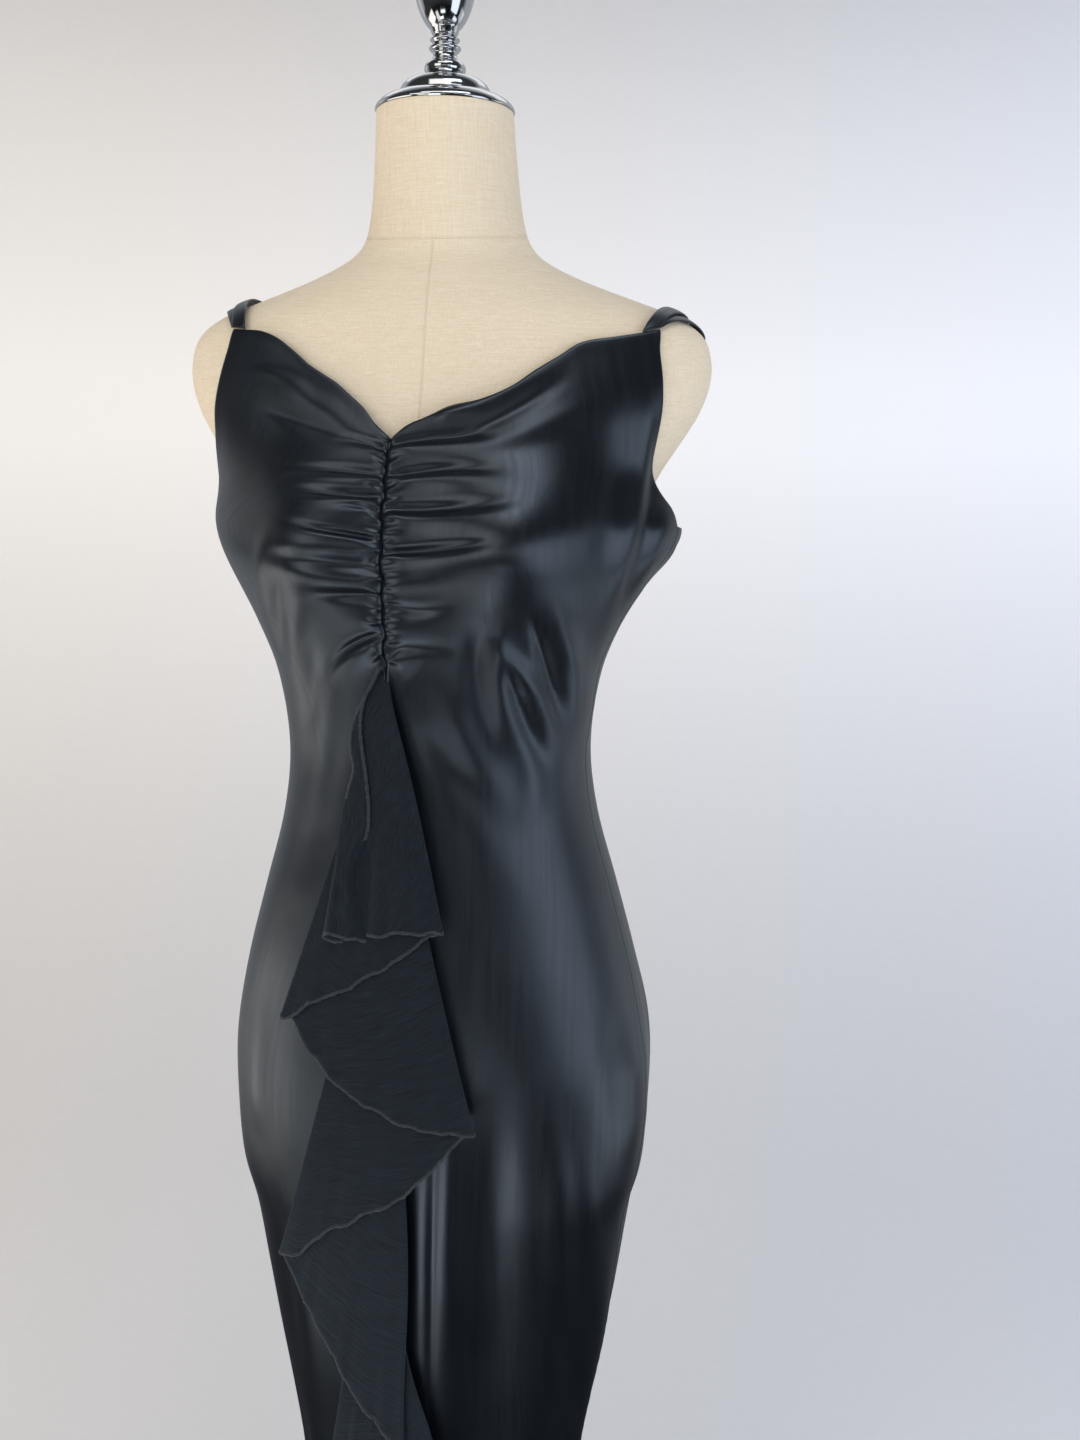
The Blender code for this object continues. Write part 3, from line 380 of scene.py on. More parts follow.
# Small tucks where the gathered cloth meets the centre seam
Tuck = namedtuple("Tuck", "side z reach tilt height width")
TUCKS = [
    Tuck(1, 1.2575, 0.012, 0.50, 0.0016, 0.0020),
    Tuck(1, 1.2490, 0.020, 0.22, 0.0022, 0.0024),
    Tuck(1, 1.2405, 0.014, 0.30, 0.0018, 0.0020),
    Tuck(1, 1.2300, 0.018, 0.10, 0.0024, 0.0022),
    Tuck(1, 1.2225, 0.022, 0.38, 0.0020, 0.0020),
    Tuck(1, 1.2155, 0.013, 0.20, 0.0018, 0.0018),
    Tuck(1, 1.2060, 0.016, 0.05, 0.0023, 0.0022),
    Tuck(1, 1.1975, 0.021, 0.12, 0.0020, 0.0022),
    Tuck(1, 1.1895, 0.012, 0.00, 0.0017, 0.0018),
    Tuck(1, 1.1785, 0.017, 0.16, 0.0024, 0.0024),
    Tuck(1, 1.1700, 0.020, 0.10, 0.0018, 0.0020),
    Tuck(1, 1.1600, 0.013, 0.08, 0.0022, 0.0022),
    Tuck(1, 1.1515, 0.015, -0.10, 0.0016, 0.0020),
    Tuck(1, 1.1400, 0.018, 0.04, 0.0022, 0.0024),
    Tuck(1, 1.1310, 0.012, 0.02, 0.0018, 0.0020),
    Tuck(1, 1.1225, 0.014, 0.10, 0.0018, 0.0020),
    Tuck(1, 1.1110, 0.013, -0.30, 0.0022, 0.0022),
    Tuck(-1, 1.2550, 0.013, 0.34, 0.0018, 0.0022),
    Tuck(-1, 1.2465, 0.019, 0.40, 0.0020, 0.0022),
    Tuck(-1, 1.2380, 0.012, 0.52, 0.0018, 0.0018),
    Tuck(-1, 1.2290, 0.020, 0.16, 0.0023, 0.0022),
    Tuck(-1, 1.2215, 0.014, 0.36, 0.0018, 0.0020),
    Tuck(-1, 1.2125, 0.017, 0.12, 0.0023, 0.0022),
    Tuck(-1, 1.2035, 0.013, 0.26, 0.0018, 0.0018),
    Tuck(-1, 1.1945, 0.019, 0.20, 0.0018, 0.0020),
    Tuck(-1, 1.1845, 0.022, 0.14, 0.0023, 0.0024),
    Tuck(-1, 1.1760, 0.012, 0.05, 0.0016, 0.0020),
    Tuck(-1, 1.1655, 0.018, 0.08, 0.0022, 0.0022),
    Tuck(-1, 1.1560, 0.014, 0.22, 0.0018, 0.0020),
    Tuck(-1, 1.1450, 0.013, 0.10, 0.0018, 0.0020),
    Tuck(-1, 1.1355, 0.017, 0.06, 0.0020, 0.0022),
    Tuck(-1, 1.1245, 0.012, -0.40, 0.0020, 0.0022),
    Tuck(-1, 1.1150, 0.014, -0.62, 0.0018, 0.0020),
]

# The ruffle zigzags down the centre seam. Each row is one fold: the height where it
# leaves the seam, its tip beside the seam, how far it bows aside, the drop of the hem
# edge between this fold and the next, and the distance to the layer behind it.
Fold = namedtuple("Fold", "seam_z tip_x tip_z bow drop layer")
RUFFLE_FOLDS = [
    Fold(1.1130, -0.011, 0.909, 0.000, 0.000, 0.0026),
    Fold(1.1080, -0.039, 0.910, 0.000, 0.000, 0.0028),
    Fold(1.1010, 0.040, 0.918, 0.000, 0.001, 0.0032),
    Fold(1.0860, -0.071, 0.842, 0.000, 0.022, 0.0034),
    Fold(1.0260, 0.063, 0.772, 0.000, 0.004, 0.0036),
    Fold(0.9580, -0.078, 0.652, 0.000, 0.016, 0.0038),
    Fold(0.8800, 0.010, 0.505, 0.009, 0.004, 0.0040),
    Fold(0.8080, -0.046, 0.450, 0.000, 0.016, 0.0042),
    Fold(0.6200, 0.052, 0.375, 0.006, 0.004, 0.0050),
    Fold(0.5600, -0.060, 0.315, 0.000, 0.014, 0.0050),
    Fold(0.5000, 0.050, 0.262, 0.000, 0.004, 0.0050),
    Fold(0.4460, -0.062, 0.214, 0.000, 0.008, 0.0050),
    Fold(0.3940, 0.036, 0.178, 0.000, 0.000, 0.0050),
]
LAST_FOLD = len(RUFFLE_FOLDS) - 1
RUFFLE_CLEAR = 0.0026
RUFFLE_SEAM_CLEAR = 0.0005
RUFFLE_START = 0.035
RUFFLE_BELLY = 0.0009
RUFFLE_DETAIL = 0.7
FOLD_SHARE = 0.07
FOLD_OPENS = 0.90
LEAST_HEM_STEP = 0.0008
PANEL_CELLS = 27
FOLD_CELLS = 12
RUFFLE_CELLS = 80

# The ruffle starts with a narrow curl: how far aside its edge and its first fold wander
# along their way from the seam to the hem
Curl = namedtuple("Curl", "v edge fold")
START_CURL = [
    Curl(0.00, 0.0000, 0.0000),
    Curl(0.08, -0.0055, -0.0040),
    Curl(0.15, -0.0103, -0.0085),
    Curl(0.23, -0.0120, -0.0112),
    Curl(0.31, -0.0105, -0.0092),
    Curl(0.38, -0.0080, -0.0045),
    Curl(0.46, -0.0054, -0.0050),
    Curl(0.53, -0.0034, -0.0050),
    Curl(0.60, -0.0030, -0.0042),
    Curl(0.66, -0.0056, -0.0034),
    Curl(0.73, -0.0082, -0.0024),
    Curl(0.82, -0.0077, -0.0014),
    Curl(0.90, -0.0038, -0.0007),
    Curl(1.00, 0.0000, 0.0000),
]
START_THREAD_END = 0.66
CURL_THREAD = (0.11, 0.50)
VALLEY_DEPTH = 0.0055

# Where the hem of the ruffle dips or rises between two folds
Ripple = namedtuple("Ripple", "number drop spread")
RIPPLES = [
    Ripple(1.20, 0.0070, 0.14),
    Ripple(1.55, -0.0012, 0.10),
    Ripple(2.40, 0.0020, 0.10),
    Ripple(2.75, -0.0016, 0.08),
    Ripple(3.10, -0.0070, 0.06),
    Ripple(3.30, 0.0022, 0.06),
    Ripple(3.62, -0.0012, 0.06),
    Ripple(4.12, -0.0020, 0.05),
    Ripple(4.36, 0.0070, 0.13),
    Ripple(4.69, -0.0046, 0.06),
    Ripple(4.84, 0.0040, 0.05),
    Ripple(5.22, 0.0026, 0.06),
    Ripple(5.42, -0.0040, 0.06),
    Ripple(5.70, 0.0020, 0.08),
    Ripple(6.40, 0.0034, 0.10),
    Ripple(7.30, -0.0036, 0.08),
    Ripple(7.62, 0.0030, 0.08),
    Ripple(8.45, 0.0040, 0.12),
    Ripple(9.25, -0.0036, 0.08),
    Ripple(9.66, 0.0026, 0.08),
    Ripple(10.5, 0.0036, 0.12),
    Ripple(11.4, -0.0030, 0.10),
]

# Straps: where each leaves the front, crosses the shoulder and meets the back
Strap = namedtuple("Strap", "name side front_x crest_x back_x lift")
STRAPS = [
    Strap("strap_right_inner", 1, 0.1530, 0.171, 0.056, 0.0042),
    Strap("strap_right_outer", 1, 0.1550, 0.184, 0.096, 0.0024),
    Strap("strap_left_inner", -1, 0.1390, 0.150, 0.052, 0.0042),
    Strap("strap_left_outer", -1, 0.1410, 0.164, 0.092, 0.0024),
]
STRAP_BASE_LIFT = 0.0012
STRAP_END_LIFT = 0.0043
STRAP_CREST = 0.3
STRAP_CROWN = 0.0003
STRAP_RIM = 0.06
STRAP_GAP = 0.0008
# Between which turns over the shoulder the front end and the back end of a strap lie
FRONT_TURNS = (radians(5), radians(70))
BACK_TURNS = (radians(150), radians(250))
STRAP_ROWS = 120
STRAP_CELLS = 10
SHOULDER_MIDDLE = (0.030, 1.290)
SHOULDER_REACH = 0.2
TINY = 1e-12

# The form's cover: about how far it is from the form's middle, and its seams, one down
# the middle and one round the foot of the neck that rises to the back
FORM_RADIUS = 0.12
COVER_SEAM_WIDTH = 0.0007
COLLAR_SEAM_Z = 1.4015
COLLAR_SEAM_SLOPE = -0.16

# The studio: its round wall and cove, and the curtain inside it whose painted glow gives the dim
# surroundings seen in reflections
ROOM_RADIUS = 3.6
ROOM_COVE = 2.3
ROOM_HEIGHT = 3.4
ROOM_FLOOR = -0.0006
ROOM_STEPS = 96
CURTAIN_RADIUS = 3.05
CURTAIN_MIDDLE = 1.1
CURTAIN_FLOOR = 0.002
CURTAIN_STEPS = 48

# The camera stands a metre from the dress and looks down at it from the right
CAMERA_DISTANCE = 1.0
CAMERA_HEIGHT = 1.243
CAMERA_SIDE = radians(12)
CAMERA_DOWN = radians(11)
CAMERA_ROLL = radians(0.6)
CAMERA_SENSOR = 36
CAMERA_NEAR = 0.05
PICTURE_LENGTH = 1440
FOCAL_PIXELS = 1320
PIXELS_LEFT_OF_CENTRE = 100.5


def ease(share):
    """A soft step from 0 to 1."""
    share = np.clip(share, 0.0, 1.0)
    return share * share * (3 - 2 * share)


def bell(distance, spread):
    """A smooth hump, 1 high at no distance and about a third as high a spread away."""
    return np.exp(-((distance / spread) ** 2))


def waves(table, place):
    """The sum of a table's waves at places along a line."""
    return sum(row.height * np.sin(place * row.rate + row.start) for row in table)


def unit(vectors, least=0.0):
    """Vectors made one long. With a small least, one of no length does no harm."""
    return vectors / (np.linalg.norm(vectors, axis=-1, keepdims=True) + least)


def table_curve(rows, key, column, values):
    """Read a column of a table at places between its rows, on a smooth curve."""
    spots = np.array([getattr(row, key) for row in rows])
    heights = np.array([getattr(row, column) for row in rows])
    if spots[0] > spots[-1]:
        spots, heights = spots[::-1], heights[::-1]
    slopes = np.empty(len(spots))
    slopes[1:-1] = (heights[2:] - heights[:-2]) / (spots[2:] - spots[:-2])
    slopes[0] = (heights[1] - heights[0]) / (spots[1] - spots[0])
    slopes[-1] = (heights[-1] - heights[-2]) / (spots[-1] - spots[-2])
    values = np.clip(values, spots[0], spots[-1])
    i = np.clip(np.searchsorted(spots, values, side="right") - 1, 0, len(spots) - 2)
    span = spots[i + 1] - spots[i]
    t = (values - spots[i]) / span
    return (
        heights[i] * (1 + 2 * t) * (1 - t) ** 2
        + slopes[i] * span * t * (1 - t) ** 2
        + heights[i + 1] * t * t * (3 - 2 * t)
        + slopes[i + 1] * span * t * t * (t - 1)
    )


def eased_sections(rows, spread):
    """A table of sections at every millimetre of height, with its bends eased."""
    z = np.arange(rows[-1].z, rows[0].z + MILLIMETRE / 2, MILLIMETRE)
    reach = 3 * spread
    weights = bell(np.arange(-reach, reach + 1), spread)
    weights /= weights.sum()
    eased = {"z": z}
    for column in Section._fields[1:]:
        values = table_curve(rows, "z", column, z)
        below = 2 * values[0] - values[reach:0:-1]
        above = 2 * values[-1] - values[-2 : -reach - 2 : -1]
        eased[column] = np.convolve(np.concatenate((below, values, above)), weights, "valid")
    return eased


FORM = eased_sections(FORM_SECTIONS, FORM_EASE)
DRESS = eased_sections(DRESS_SECTIONS, DRESS_EASE)


def section_value(sections, column, z):
    return np.interp(z, sections["z"], sections[column])


def section_at(sections, z):
    """Each section's half width, middle, depths before and behind it, and squareness."""
    middle = section_value(sections, "middle", z)
    front = section_value(sections, "front", z) + middle
    back = section_value(sections, "back", z) - middle
    half_width = section_value(sections, "half_width", z)
    return half_width, middle, front, back, section_value(sections, "square", z)


def body_points(sections, bust, angle, z):
    """Points of horizontal sections, with the bust added in front."""
    half_width, middle, front, back, square = section_at(sections, z)
    power = 2 / square
    s, c = np.sin(angle), np.cos(angle)
    x = half_width * np.sign(s) * np.abs(s) ** power
    depth = np.where(c > 0, front, back)
    y = middle - depth * np.sign(c) * np.abs(c) ** power
    # The bust fades out where the body turns to its side
    facing = np.where(c > 0, c * c / (c * c + 0.01) ** 0.75, 0.0)
    for side in (-1, 1):
        mound = bell(x - side * bust.x, bust.spread_x) * bell(z - bust.z, bust.spread_z)
        y = y - bust.height * mound * facing
    return np.stack((x, y, z + 0 * x), axis=-1)


def dress_base(angle, z):
    return body_points(DRESS, DRESS_BUST, angle, z)


def dress_normals(angle, z):
    """The dress's outward directions, from its two tangents at each place."""
    step, rise = radians(1.0), 0.002
    across = dress_base(angle + step, z) - dress_base(angle - step, z)
    up = dress_base(angle, z + rise) - dress_base(angle, z - rise)
    return unit(np.cross(across, up))


def angle_of(x, z):
    """The angle at which the dress section at height z reaches x, in front."""
    half_width = section_value(DRESS, "half_width", z)
    reach = np.minimum(np.abs(x) / half_width, 1.0)
    return np.sign(x) * np.arcsin(reach ** (section_value(DRESS, "square", z) / 2))


def turn_between(angle, degrees):
    """How far each angle is from a direction, the short way round."""
    return (angle - radians(degrees) + pi) % (2 * pi) - pi


def flute_lift(angle, z):
    growth = np.clip((FLUTE_TOP - z) / (FLUTE_TOP - HEM), 0.0, None) ** FLUTE_GROWTH
    lift = np.zeros_like(z)
    for flute in FLUTES:
        lift += flute.depth * bell(turn_between(angle, flute.degrees), radians(flute.spread))
    return lift * growth


def slack_lift(angle, z):
    lift = np.zeros_like(z)
    for slack in SLACKS:
        away = turn_between(angle, slack.degrees)
        lift += slack.height * bell(away, radians(slack.spread)) * bell(z - slack.z, slack.spread_z)
    return lift


def crease_lift(creases, across, z, scale=1.0, fade=0.40, ending=0.45):
    """How far all the creases of a table lift each place.

    Each crease bends through its middle place, widens on its way, and fades over the
    shares of its length that fade and ending give. Scale turns across into metres.
    """
    start_width, growth = 0.8, 0.5
    lift = np.zeros_like(z)
    for row in creases:
        run, rise = (row.x2 - row.x0) * scale, row.z2 - row.z0
        length = np.hypot(run, rise)
        middle = (row.x1 - row.x0) * scale, row.z1 - row.z0
        middle_along = (middle[0] * run + middle[1] * rise) / length**2
        middle_aside = (middle[1] * run - middle[0] * rise) / length
        bend = middle_aside / (middle_along * (1 - middle_along))
        beside, above = (across - row.x0) * scale, z - row.z0
        along = (beside * run + above * rise) / length**2
        aside = (above * run - beside * rise) / length - bend * along * (1 - along)
        width = row.width * (start_width + growth * np.clip(along, 0.0, 1.0))
        start, end = ease((along + 0.25 * fade) / fade), ease((1 - along) / ending)
        lift += row.height * bell(aside, width) * start * end
    return lift


def side_creases(angle, z):
    """Creases of the sides and the back. The angles are read the way round of each row."""
    lift = np.zeros_like(z)
    for row in SIDE_CREASES:
        degrees = row.x1 + np.degrees(turn_between(angle, row.x1))
        lift += crease_lift([row], degrees, z, METRES_PER_DEGREE)
    return lift


def centre_seam_x(z):
    """The gathered seam wanders a little from side to side."""
    ruched = ease((z - RUCHING_END) / 0.02)
    return CENTRE_SEAM_X + waves(SEAM_WANDER, z) * ruched


def tuck_lift(side, from_seam, z):
    """Tucks beside the centre seam, held down where they are stitched."""
    held, held_width = 0.6, 0.0020
    start_width, growth = 0.8, 0.9
    lift = np.zeros_like(z)
    for tuck in TUCKS:
        if tuck.side != side:
            continue
        share = np.clip(from_seam / tuck.reach, 0.0, 1.0)
        off = z - tuck.z - tuck.tilt * from_seam
        width = tuck.width * (start_width + growth * share)
        lift += tuck.height * bell(off, width) * (1 - share * share) ** 2
    return lift * (1 - held * bell(from_seam, held_width))


def seam_lift(from_seam, z):
    """The cloth dips into the centre seam, deeper where it is gathered."""
    plain_depth, ruched_depth, width = 0.0005, 0.0009, 0.0014
    ruched = ease((z - RUCHING_END + 0.01) / 0.03)
    return -(plain_depth + ruched_depth * ruched) * bell(from_seam, width)


def dress_lift(angle, z, detail=1.0):
    """How far the dress's folds and creases stand off its plain shape."""
    lift = flute_lift(angle, z) + slack_lift(angle, z)
    x = dress_base(angle, z)[..., 0]
    front = ease(np.cos(angle) / 0.12)
    creases = crease_lift(LEFT_RUCHING, x, z, fade=0.16, ending=0.75)
    creases += crease_lift(RIGHT_RUCHING, x, z, fade=0.16, ending=0.75)
    creases = (creases + crease_lift(BODY_CREASES, x, z)) * front
    return lift + (creases + side_creases(angle, z)) * detail


def dress_points(angle, z, lift=0.0, detail=1.0):
    """Points of the dress's outer face, moved out by lift."""
    out = dress_lift(angle, z, detail) + lift
    return dress_base(angle, z) + dress_normals(angle, z) * out[..., None]


def folded_edge(distance):
    """A turned-in edge: round at the rim, a little thicker along the turning."""
    turning = 0.0001 * bell(distance - 0.0040, 0.0030)
    rim = 0.0004 * bell(distance, 0.0008)
    return turning - rim


def side_seam_lift(distance, z):
    """A side seam: a fine valley with small puckers beside it."""
    puckers = 0.00012 * waves(SEAM_PUCKERS, z) * bell(distance - 0.003, 0.006)
    valley = 0.0002 * bell(distance, 0.0012)
    return puckers - valley


def hem_lift(z):
    """The skirt's hem: a turned-up edge held by one line of stitching."""
    turning = 0.0004 * ease((HEM + 0.020 - z) / 0.002)
    stitching = 0.0006 * bell(z - HEM - 0.020, 0.0012)
    return turning - stitching


def flat_places(points):
    """Where each point lies on the flat cloth, in metres, for the weave."""
    steps = np.linalg.norm(np.diff(points, axis=1), axis=-1)
    across = np.concatenate((np.zeros((len(points), 1)), np.cumsum(steps, axis=1)), axis=1)
    rises = np.linalg.norm(np.diff(points, axis=0), axis=-1).mean(axis=1)
    up = np.concatenate(([0.0], np.cumsum(rises)))
    return np.stack((across, up[:, None] + 0 * across), axis=-1)


def cloth_mesh(name, points, flat):
    """A sheet of faces through a grid of points, rows by columns, with a map of the cloth."""
    rows, columns = points.shape[:2]
    bm = bmesh.new()
    bmesh.ops.create_grid(bm, x_segments=columns - 1, y_segments=rows - 1, size=0.5)
    mesh = bpy.data.meshes.new(name)
    bm.to_mesh(mesh)
    bm.free()
    spots = np.empty(len(mesh.vertices) * 3, dtype=np.float32)
    mesh.vertices.foreach_get("co", spots)
    spots = spots.reshape(-1, 3)
    column = np.rint((spots[:, 0] + 0.5) * (columns - 1)).astype(int)
    row = np.rint((spots[:, 1] + 0.5) * (rows - 1)).astype(int)
    mesh.vertices.foreach_set("co", points[row, column].astype(np.float32).ravel())
    corners = np.empty(len(mesh.loops), dtype=np.int32)
    mesh.loops.foreach_get("vertex_index", corners)
    cloth_map = mesh.uv_layers.new(name="cloth")
    cloth_map.data.foreach_set("uv", flat[row, column][corners].astype(np.float32).ravel())
    mesh.update()
    return mesh


def add_piece(name, mesh, material):
    mesh.materials.clear()
    mesh.materials.append(material)
    mesh.shade_smooth()
    piece = bpy.data.objects.new(name, mesh)
    bpy.context.scene.collection.objects.link(piece)
    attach(piece, "root")
    return piece


def add_sheet(name, points, thickness, side, material):
    """A sheet of cloth through a grid of points, its wall on one side of them or on both."""
    piece = add_piece(name, cloth_mesh(name, points, flat_places(points)), material)
    wall = piece.modifiers.new("thickness", "SOLIDIFY")
    wall.thickness = thickness
    wall.offset = side
    return piece


def spaced(cells, closeness):
    """Shares from 0 to 1, closer together towards both ends."""
    share = np.linspace(0.0, 1.0, cells + 1)
    return share - closeness * np.sin(2 * pi * share) / (2 * pi)


def low_rows():
    """Heights of the rows from the hem up to the end of the ruching."""
    hem = np.linspace(HEM, HEM + HEM_DEPTH, HEM_CELLS, endpoint=False)
    skirt = np.linspace(HEM + HEM_DEPTH, RUCHING_END, SKIRT_CELLS, endpoint=False)
    return np.concatenate((hem, skirt))


def panel_heights(low, start, top, cells):
    """Heights of a panel's points: level rows, then rows that rise to its upper edge."""
    rise = 1 - (1 - np.linspace(0.0, 1.0, cells + 1)) ** TOP_CLOSENESS
    high = start + (top[None, :] - start) * rise[:, None]
    return np.vstack((np.repeat(low[:, None], len(top), axis=1), high))


def make_panel(name, angle, z, lift, shift, material):
    """A panel of the dress, moved round it by shift to part it from its neighbours."""
    points = dress_points(angle, z, lift)
    across = unit(dress_base(angle + radians(1), z) - dress_base(angle, z))
    return add_sheet(name, points + across * shift[..., None], SATIN, INWARD, material)


def make_front(name, side, material):
    """A front panel, from the ruched centre seam to the armhole and the side seam."""
    column = "right" if side > 0 else "left"
    share = spaced(FRONT_CELLS, FRONT_CLOSENESS)
    share = share if side > 0 else 1 - share
    top = table_curve(NECKLINE, "share", column, share)
    ruched = np.linspace(RUCHING_END, UNDERARM, RUCHED_CELLS, endpoint=False)
    z = panel_heights(np.concatenate((low_rows(), ruched)), UNDERARM, top, TOP_CELLS)
    share = np.repeat(share[None, :], len(z), axis=0)

    seam = angle_of(centre_seam_x(z), z)
    edge = side * np.radians(table_curve(ARMHOLE, "z", column, z))
    angle = seam + share * (edge - seam)
    from_seam = np.abs(dress_base(angle, z)[..., 0] - centre_seam_x(z))
    from_edge = np.abs(edge - angle) * section_value(DRESS, "half_width", z) * ARC_SHARE
    lift = tuck_lift(side, from_seam, z) + seam_lift(from_seam, z) + hem_lift(z)
    lift += folded_edge((top[None, :] - z) * NECKLINE_SLOPE)
    lift += np.where(z > UNDERARM, folded_edge(from_edge), side_seam_lift(from_edge, z))
    gap = CENTRE_GAP * (1 - share) - SEAM_GAP * share
    return make_panel(name, angle, z, lift, 0.5 * side * gap, material)


def back_top(angle):
    """Height of the back panel's upper edge."""
    return BACK_EDGE - BACK_DIP * np.sin(pi * (angle - BACK_START) / (BACK_END - BACK_START))


def make_back(name, material):
    """The back panel, from one side seam round the back to the other."""
    share = spaced(BACK_CELLS, BACK_CLOSENESS)
    angle = BACK_START + share * (BACK_END - BACK_START)
    top = back_top(angle)
    z = panel_heights(low_rows(), RUCHING_END, top, BACK_TOP_CELLS)
    share = np.repeat(share[None, :], len(z), axis=0)
    angle = np.repeat(angle[None, :], len(z), axis=0)
    from_seam = np.minimum(share, 1 - share) * (BACK_END - BACK_START)
    from_seam = from_seam * section_value(DRESS, "half_width", z)
    lift = hem_lift(z) + side_seam_lift(from_seam, z) + folded_edge(top[None, :] - z)
    return make_panel(name, angle, z, lift, 0.5 * SEAM_GAP * (1 - 2 * share), material)


SEAM_HEIGHTS = np.array([fold.seam_z for fold in RUFFLE_FOLDS])
FOLD_NUMBERS = np.arange(len(RUFFLE_FOLDS))
LAYER_DEPTHS = np.concatenate(([0.0], np.cumsum([fold.layer for fold in RUFFLE_FOLDS[:-1]])))


def panel_ends(fold):
    """Where the flat panel between a fold and the next begins and ends along the strip."""
    start = fold + (FOLD_SHARE if fold else 0.0)
    end = fold + 1 - (FOLD_SHARE if fold < LAST_FOLD - 1 else 0.0)
    return start, end


def ruffle_places():
    """Places along the ruffle's strip: (fold number, turn of the fold or None)."""
    places = []
    for fold in range(LAST_FOLD):
        start, end = panel_ends(fold)
        for step in range(PANEL_CELLS + 1):
            places.append((start + (end - start) * step / PANEL_CELLS, None))
        if fold < LAST_FOLD - 1:
            for step in range(1, FOLD_CELLS):
                share = step / FOLD_CELLS
                places.append((end + 2 * FOLD_SHARE * share, share))
    return places


def seam_step(fold):
    """How far apart the folds beside this one leave the seam."""
    above, below = max(fold - 1, 0), min(fold + 1, LAST_FOLD)
    return (RUFFLE_FOLDS[above].seam_z - RUFFLE_FOLDS[below].seam_z) / (below - above)


def opening_share(number):
    """How far along a ruling the folds beside it have opened to their full width."""
    low = min(int(number), LAST_FOLD - 1)
    spacing = seam_step(low) + (seam_step(low + 1) - seam_step(low)) * (number - low)
    return FOLD_OPENS * spacing / (RUFFLE_FOLDS[low].seam_z - RUFFLE_FOLDS[low].tip_z)


Ruling = namedtuple("Ruling", "number tip_x tip_z bow front aside behind opens belly")


def ruling_at(number, turn):
    """The line from the seam to the hem at one place of the strip."""
    opens = opening_share(number)
    dip = sum(ripple.drop * bell(number - ripple.number, ripple.spread) for ripple in RIPPLES)
    if turn is None:
        whole = min(int(number), LAST_FOLD - 1)
        start, end = panel_ends(whole)
        t = (number - start) / (end - start)
        low, high = RUFFLE_FOLDS[whole], RUFFLE_FOLDS[whole + 1]
        tip_x = low.tip_x + (high.tip_x - low.tip_x) * t
        tip_z = low.tip_z + (high.tip_z - low.tip_z) * t - low.drop * sin(pi * t) - dip
        bow = low.bow + (high.bow - low.bow) * t
        behind = float(LAYER_DEPTHS[whole])
        belly = RUFFLE_BELLY * sin(pi * t)
        return Ruling(number, tip_x, tip_z, bow, 0.0, 0.0, behind, opens, belly)
    nearest = round(number)
    fold, before = RUFFLE_FOLDS[nearest], RUFFLE_FOLDS[nearest - 1]
    radius = before.layer / 2
    front = -radius * (1 - cos(pi * turn))
    aside = radius * sin(pi * turn) * (1 if fold.tip_x > 0 else -1)
    behind = float(LAYER_DEPTHS[nearest - 1])
    return Ruling(number, fold.tip_x, fold.tip_z - dip, fold.bow, front, aside, behind, opens, 0.0)


def start_curl(number, v):
    """How far the first two panels wander aside, and how far they lift, near the start.

    Low down, the strip's end dives in towards the dress, and the second panel has a
    valley beside its fold and a rise beyond it.
    """
    edge = table_curve(START_CURL, "v", "edge", v)
    fold = table_curve(START_CURL, "v", "fold", v)
    first = np.clip(number, 0.0, 1.0)
    second = np.clip(number - 1, 0.0, 1.0)
    aside = (edge + (fold - edge) * first) * (1 - ease(second / 0.6))
    low = ease((v - 0.55) / 0.2)
    dive = (1 - ease(first / 0.35)) * (1 - ease(second / 0.05))
    rise = ease((second - 0.36) / 0.12) * (1 - ease((second - 0.75) / 0.25))
    valley = bell(second - 0.30, 0.14) * (number > 1)
    return aside, VALLEY_DEPTH * low * (0.6 * rise - dive - 0.7 * valley)


def ruffle_points(rulings, v):
    """Points of the ruffle: v runs from the seam to the hem along each ruling."""
    columns = np.array(rulings).T[:, None, :]
    number, tip_x, tip_z, bow, front, aside, behind, opens, belly = columns
    v = v[:, None] + 0 * number
    opened = ease(v / opens)
    seam_z = np.interp(number, FOLD_NUMBERS, SEAM_HEIGHTS)
    z = seam_z + (tip_z - seam_z) * v
    wander, stand_off = start_curl(number, v)
    across = tip_x * v + bow * np.sin(pi * v) ** 2 + wander + aside * opened

    # Layers lie on those that leave the seam below them
    here = np.interp(-z, -SEAM_HEIGHTS, FOLD_NUMBERS)
    stack = np.interp(here, FOLD_NUMBERS, LAYER_DEPTHS)
    over_seam = stack - np.interp(number, FOLD_NUMBERS, LAYER_DEPTHS)
    lift = np.maximum(over_seam + (stack - behind - over_seam + front) * opened, 0.0)
    lift += RUFFLE_CLEAR * np.minimum(v / 0.15, 1.0) + RUFFLE_SEAM_CLEAR
    lift += belly * opened * np.sin(pi * v * 0.8) + stand_off

    # The hem waves in and out and droops, over its own length
    hem_x, hem_z = CENTRE_SEAM_X + tip_x[0], tip_z[0]
    steps = np.hypot(np.diff(hem_x), np.diff(hem_z)) + LEAST_HEM_STEP
    run = np.concatenate(([0.0], np.cumsum(steps)))[None, :]
    lift += waves(HEM_WAVES, run) * v**5
    z = z - waves(HEM_DROOPS, run) * v**6
    return dress_points(angle_of(CENTRE_SEAM_X + across, z), z, lift, RUFFLE_DETAIL)


def make_ruffle(name, material):
    """The cascade: one long strip, folded left and right all down the centre seam."""
    rulings = [ruling_at(number, turn) for number, turn in ruffle_places()]
    share = np.linspace(0.0, 1.0, RUFFLE_CELLS + 1)
    v = RUFFLE_START + (1 - RUFFLE_START) * (1 - share) ** HEM_CLOSENESS
    points = ruffle_points(rulings, v)
    return add_sheet(name, points, CHIFFON, CENTRED, material), points, v


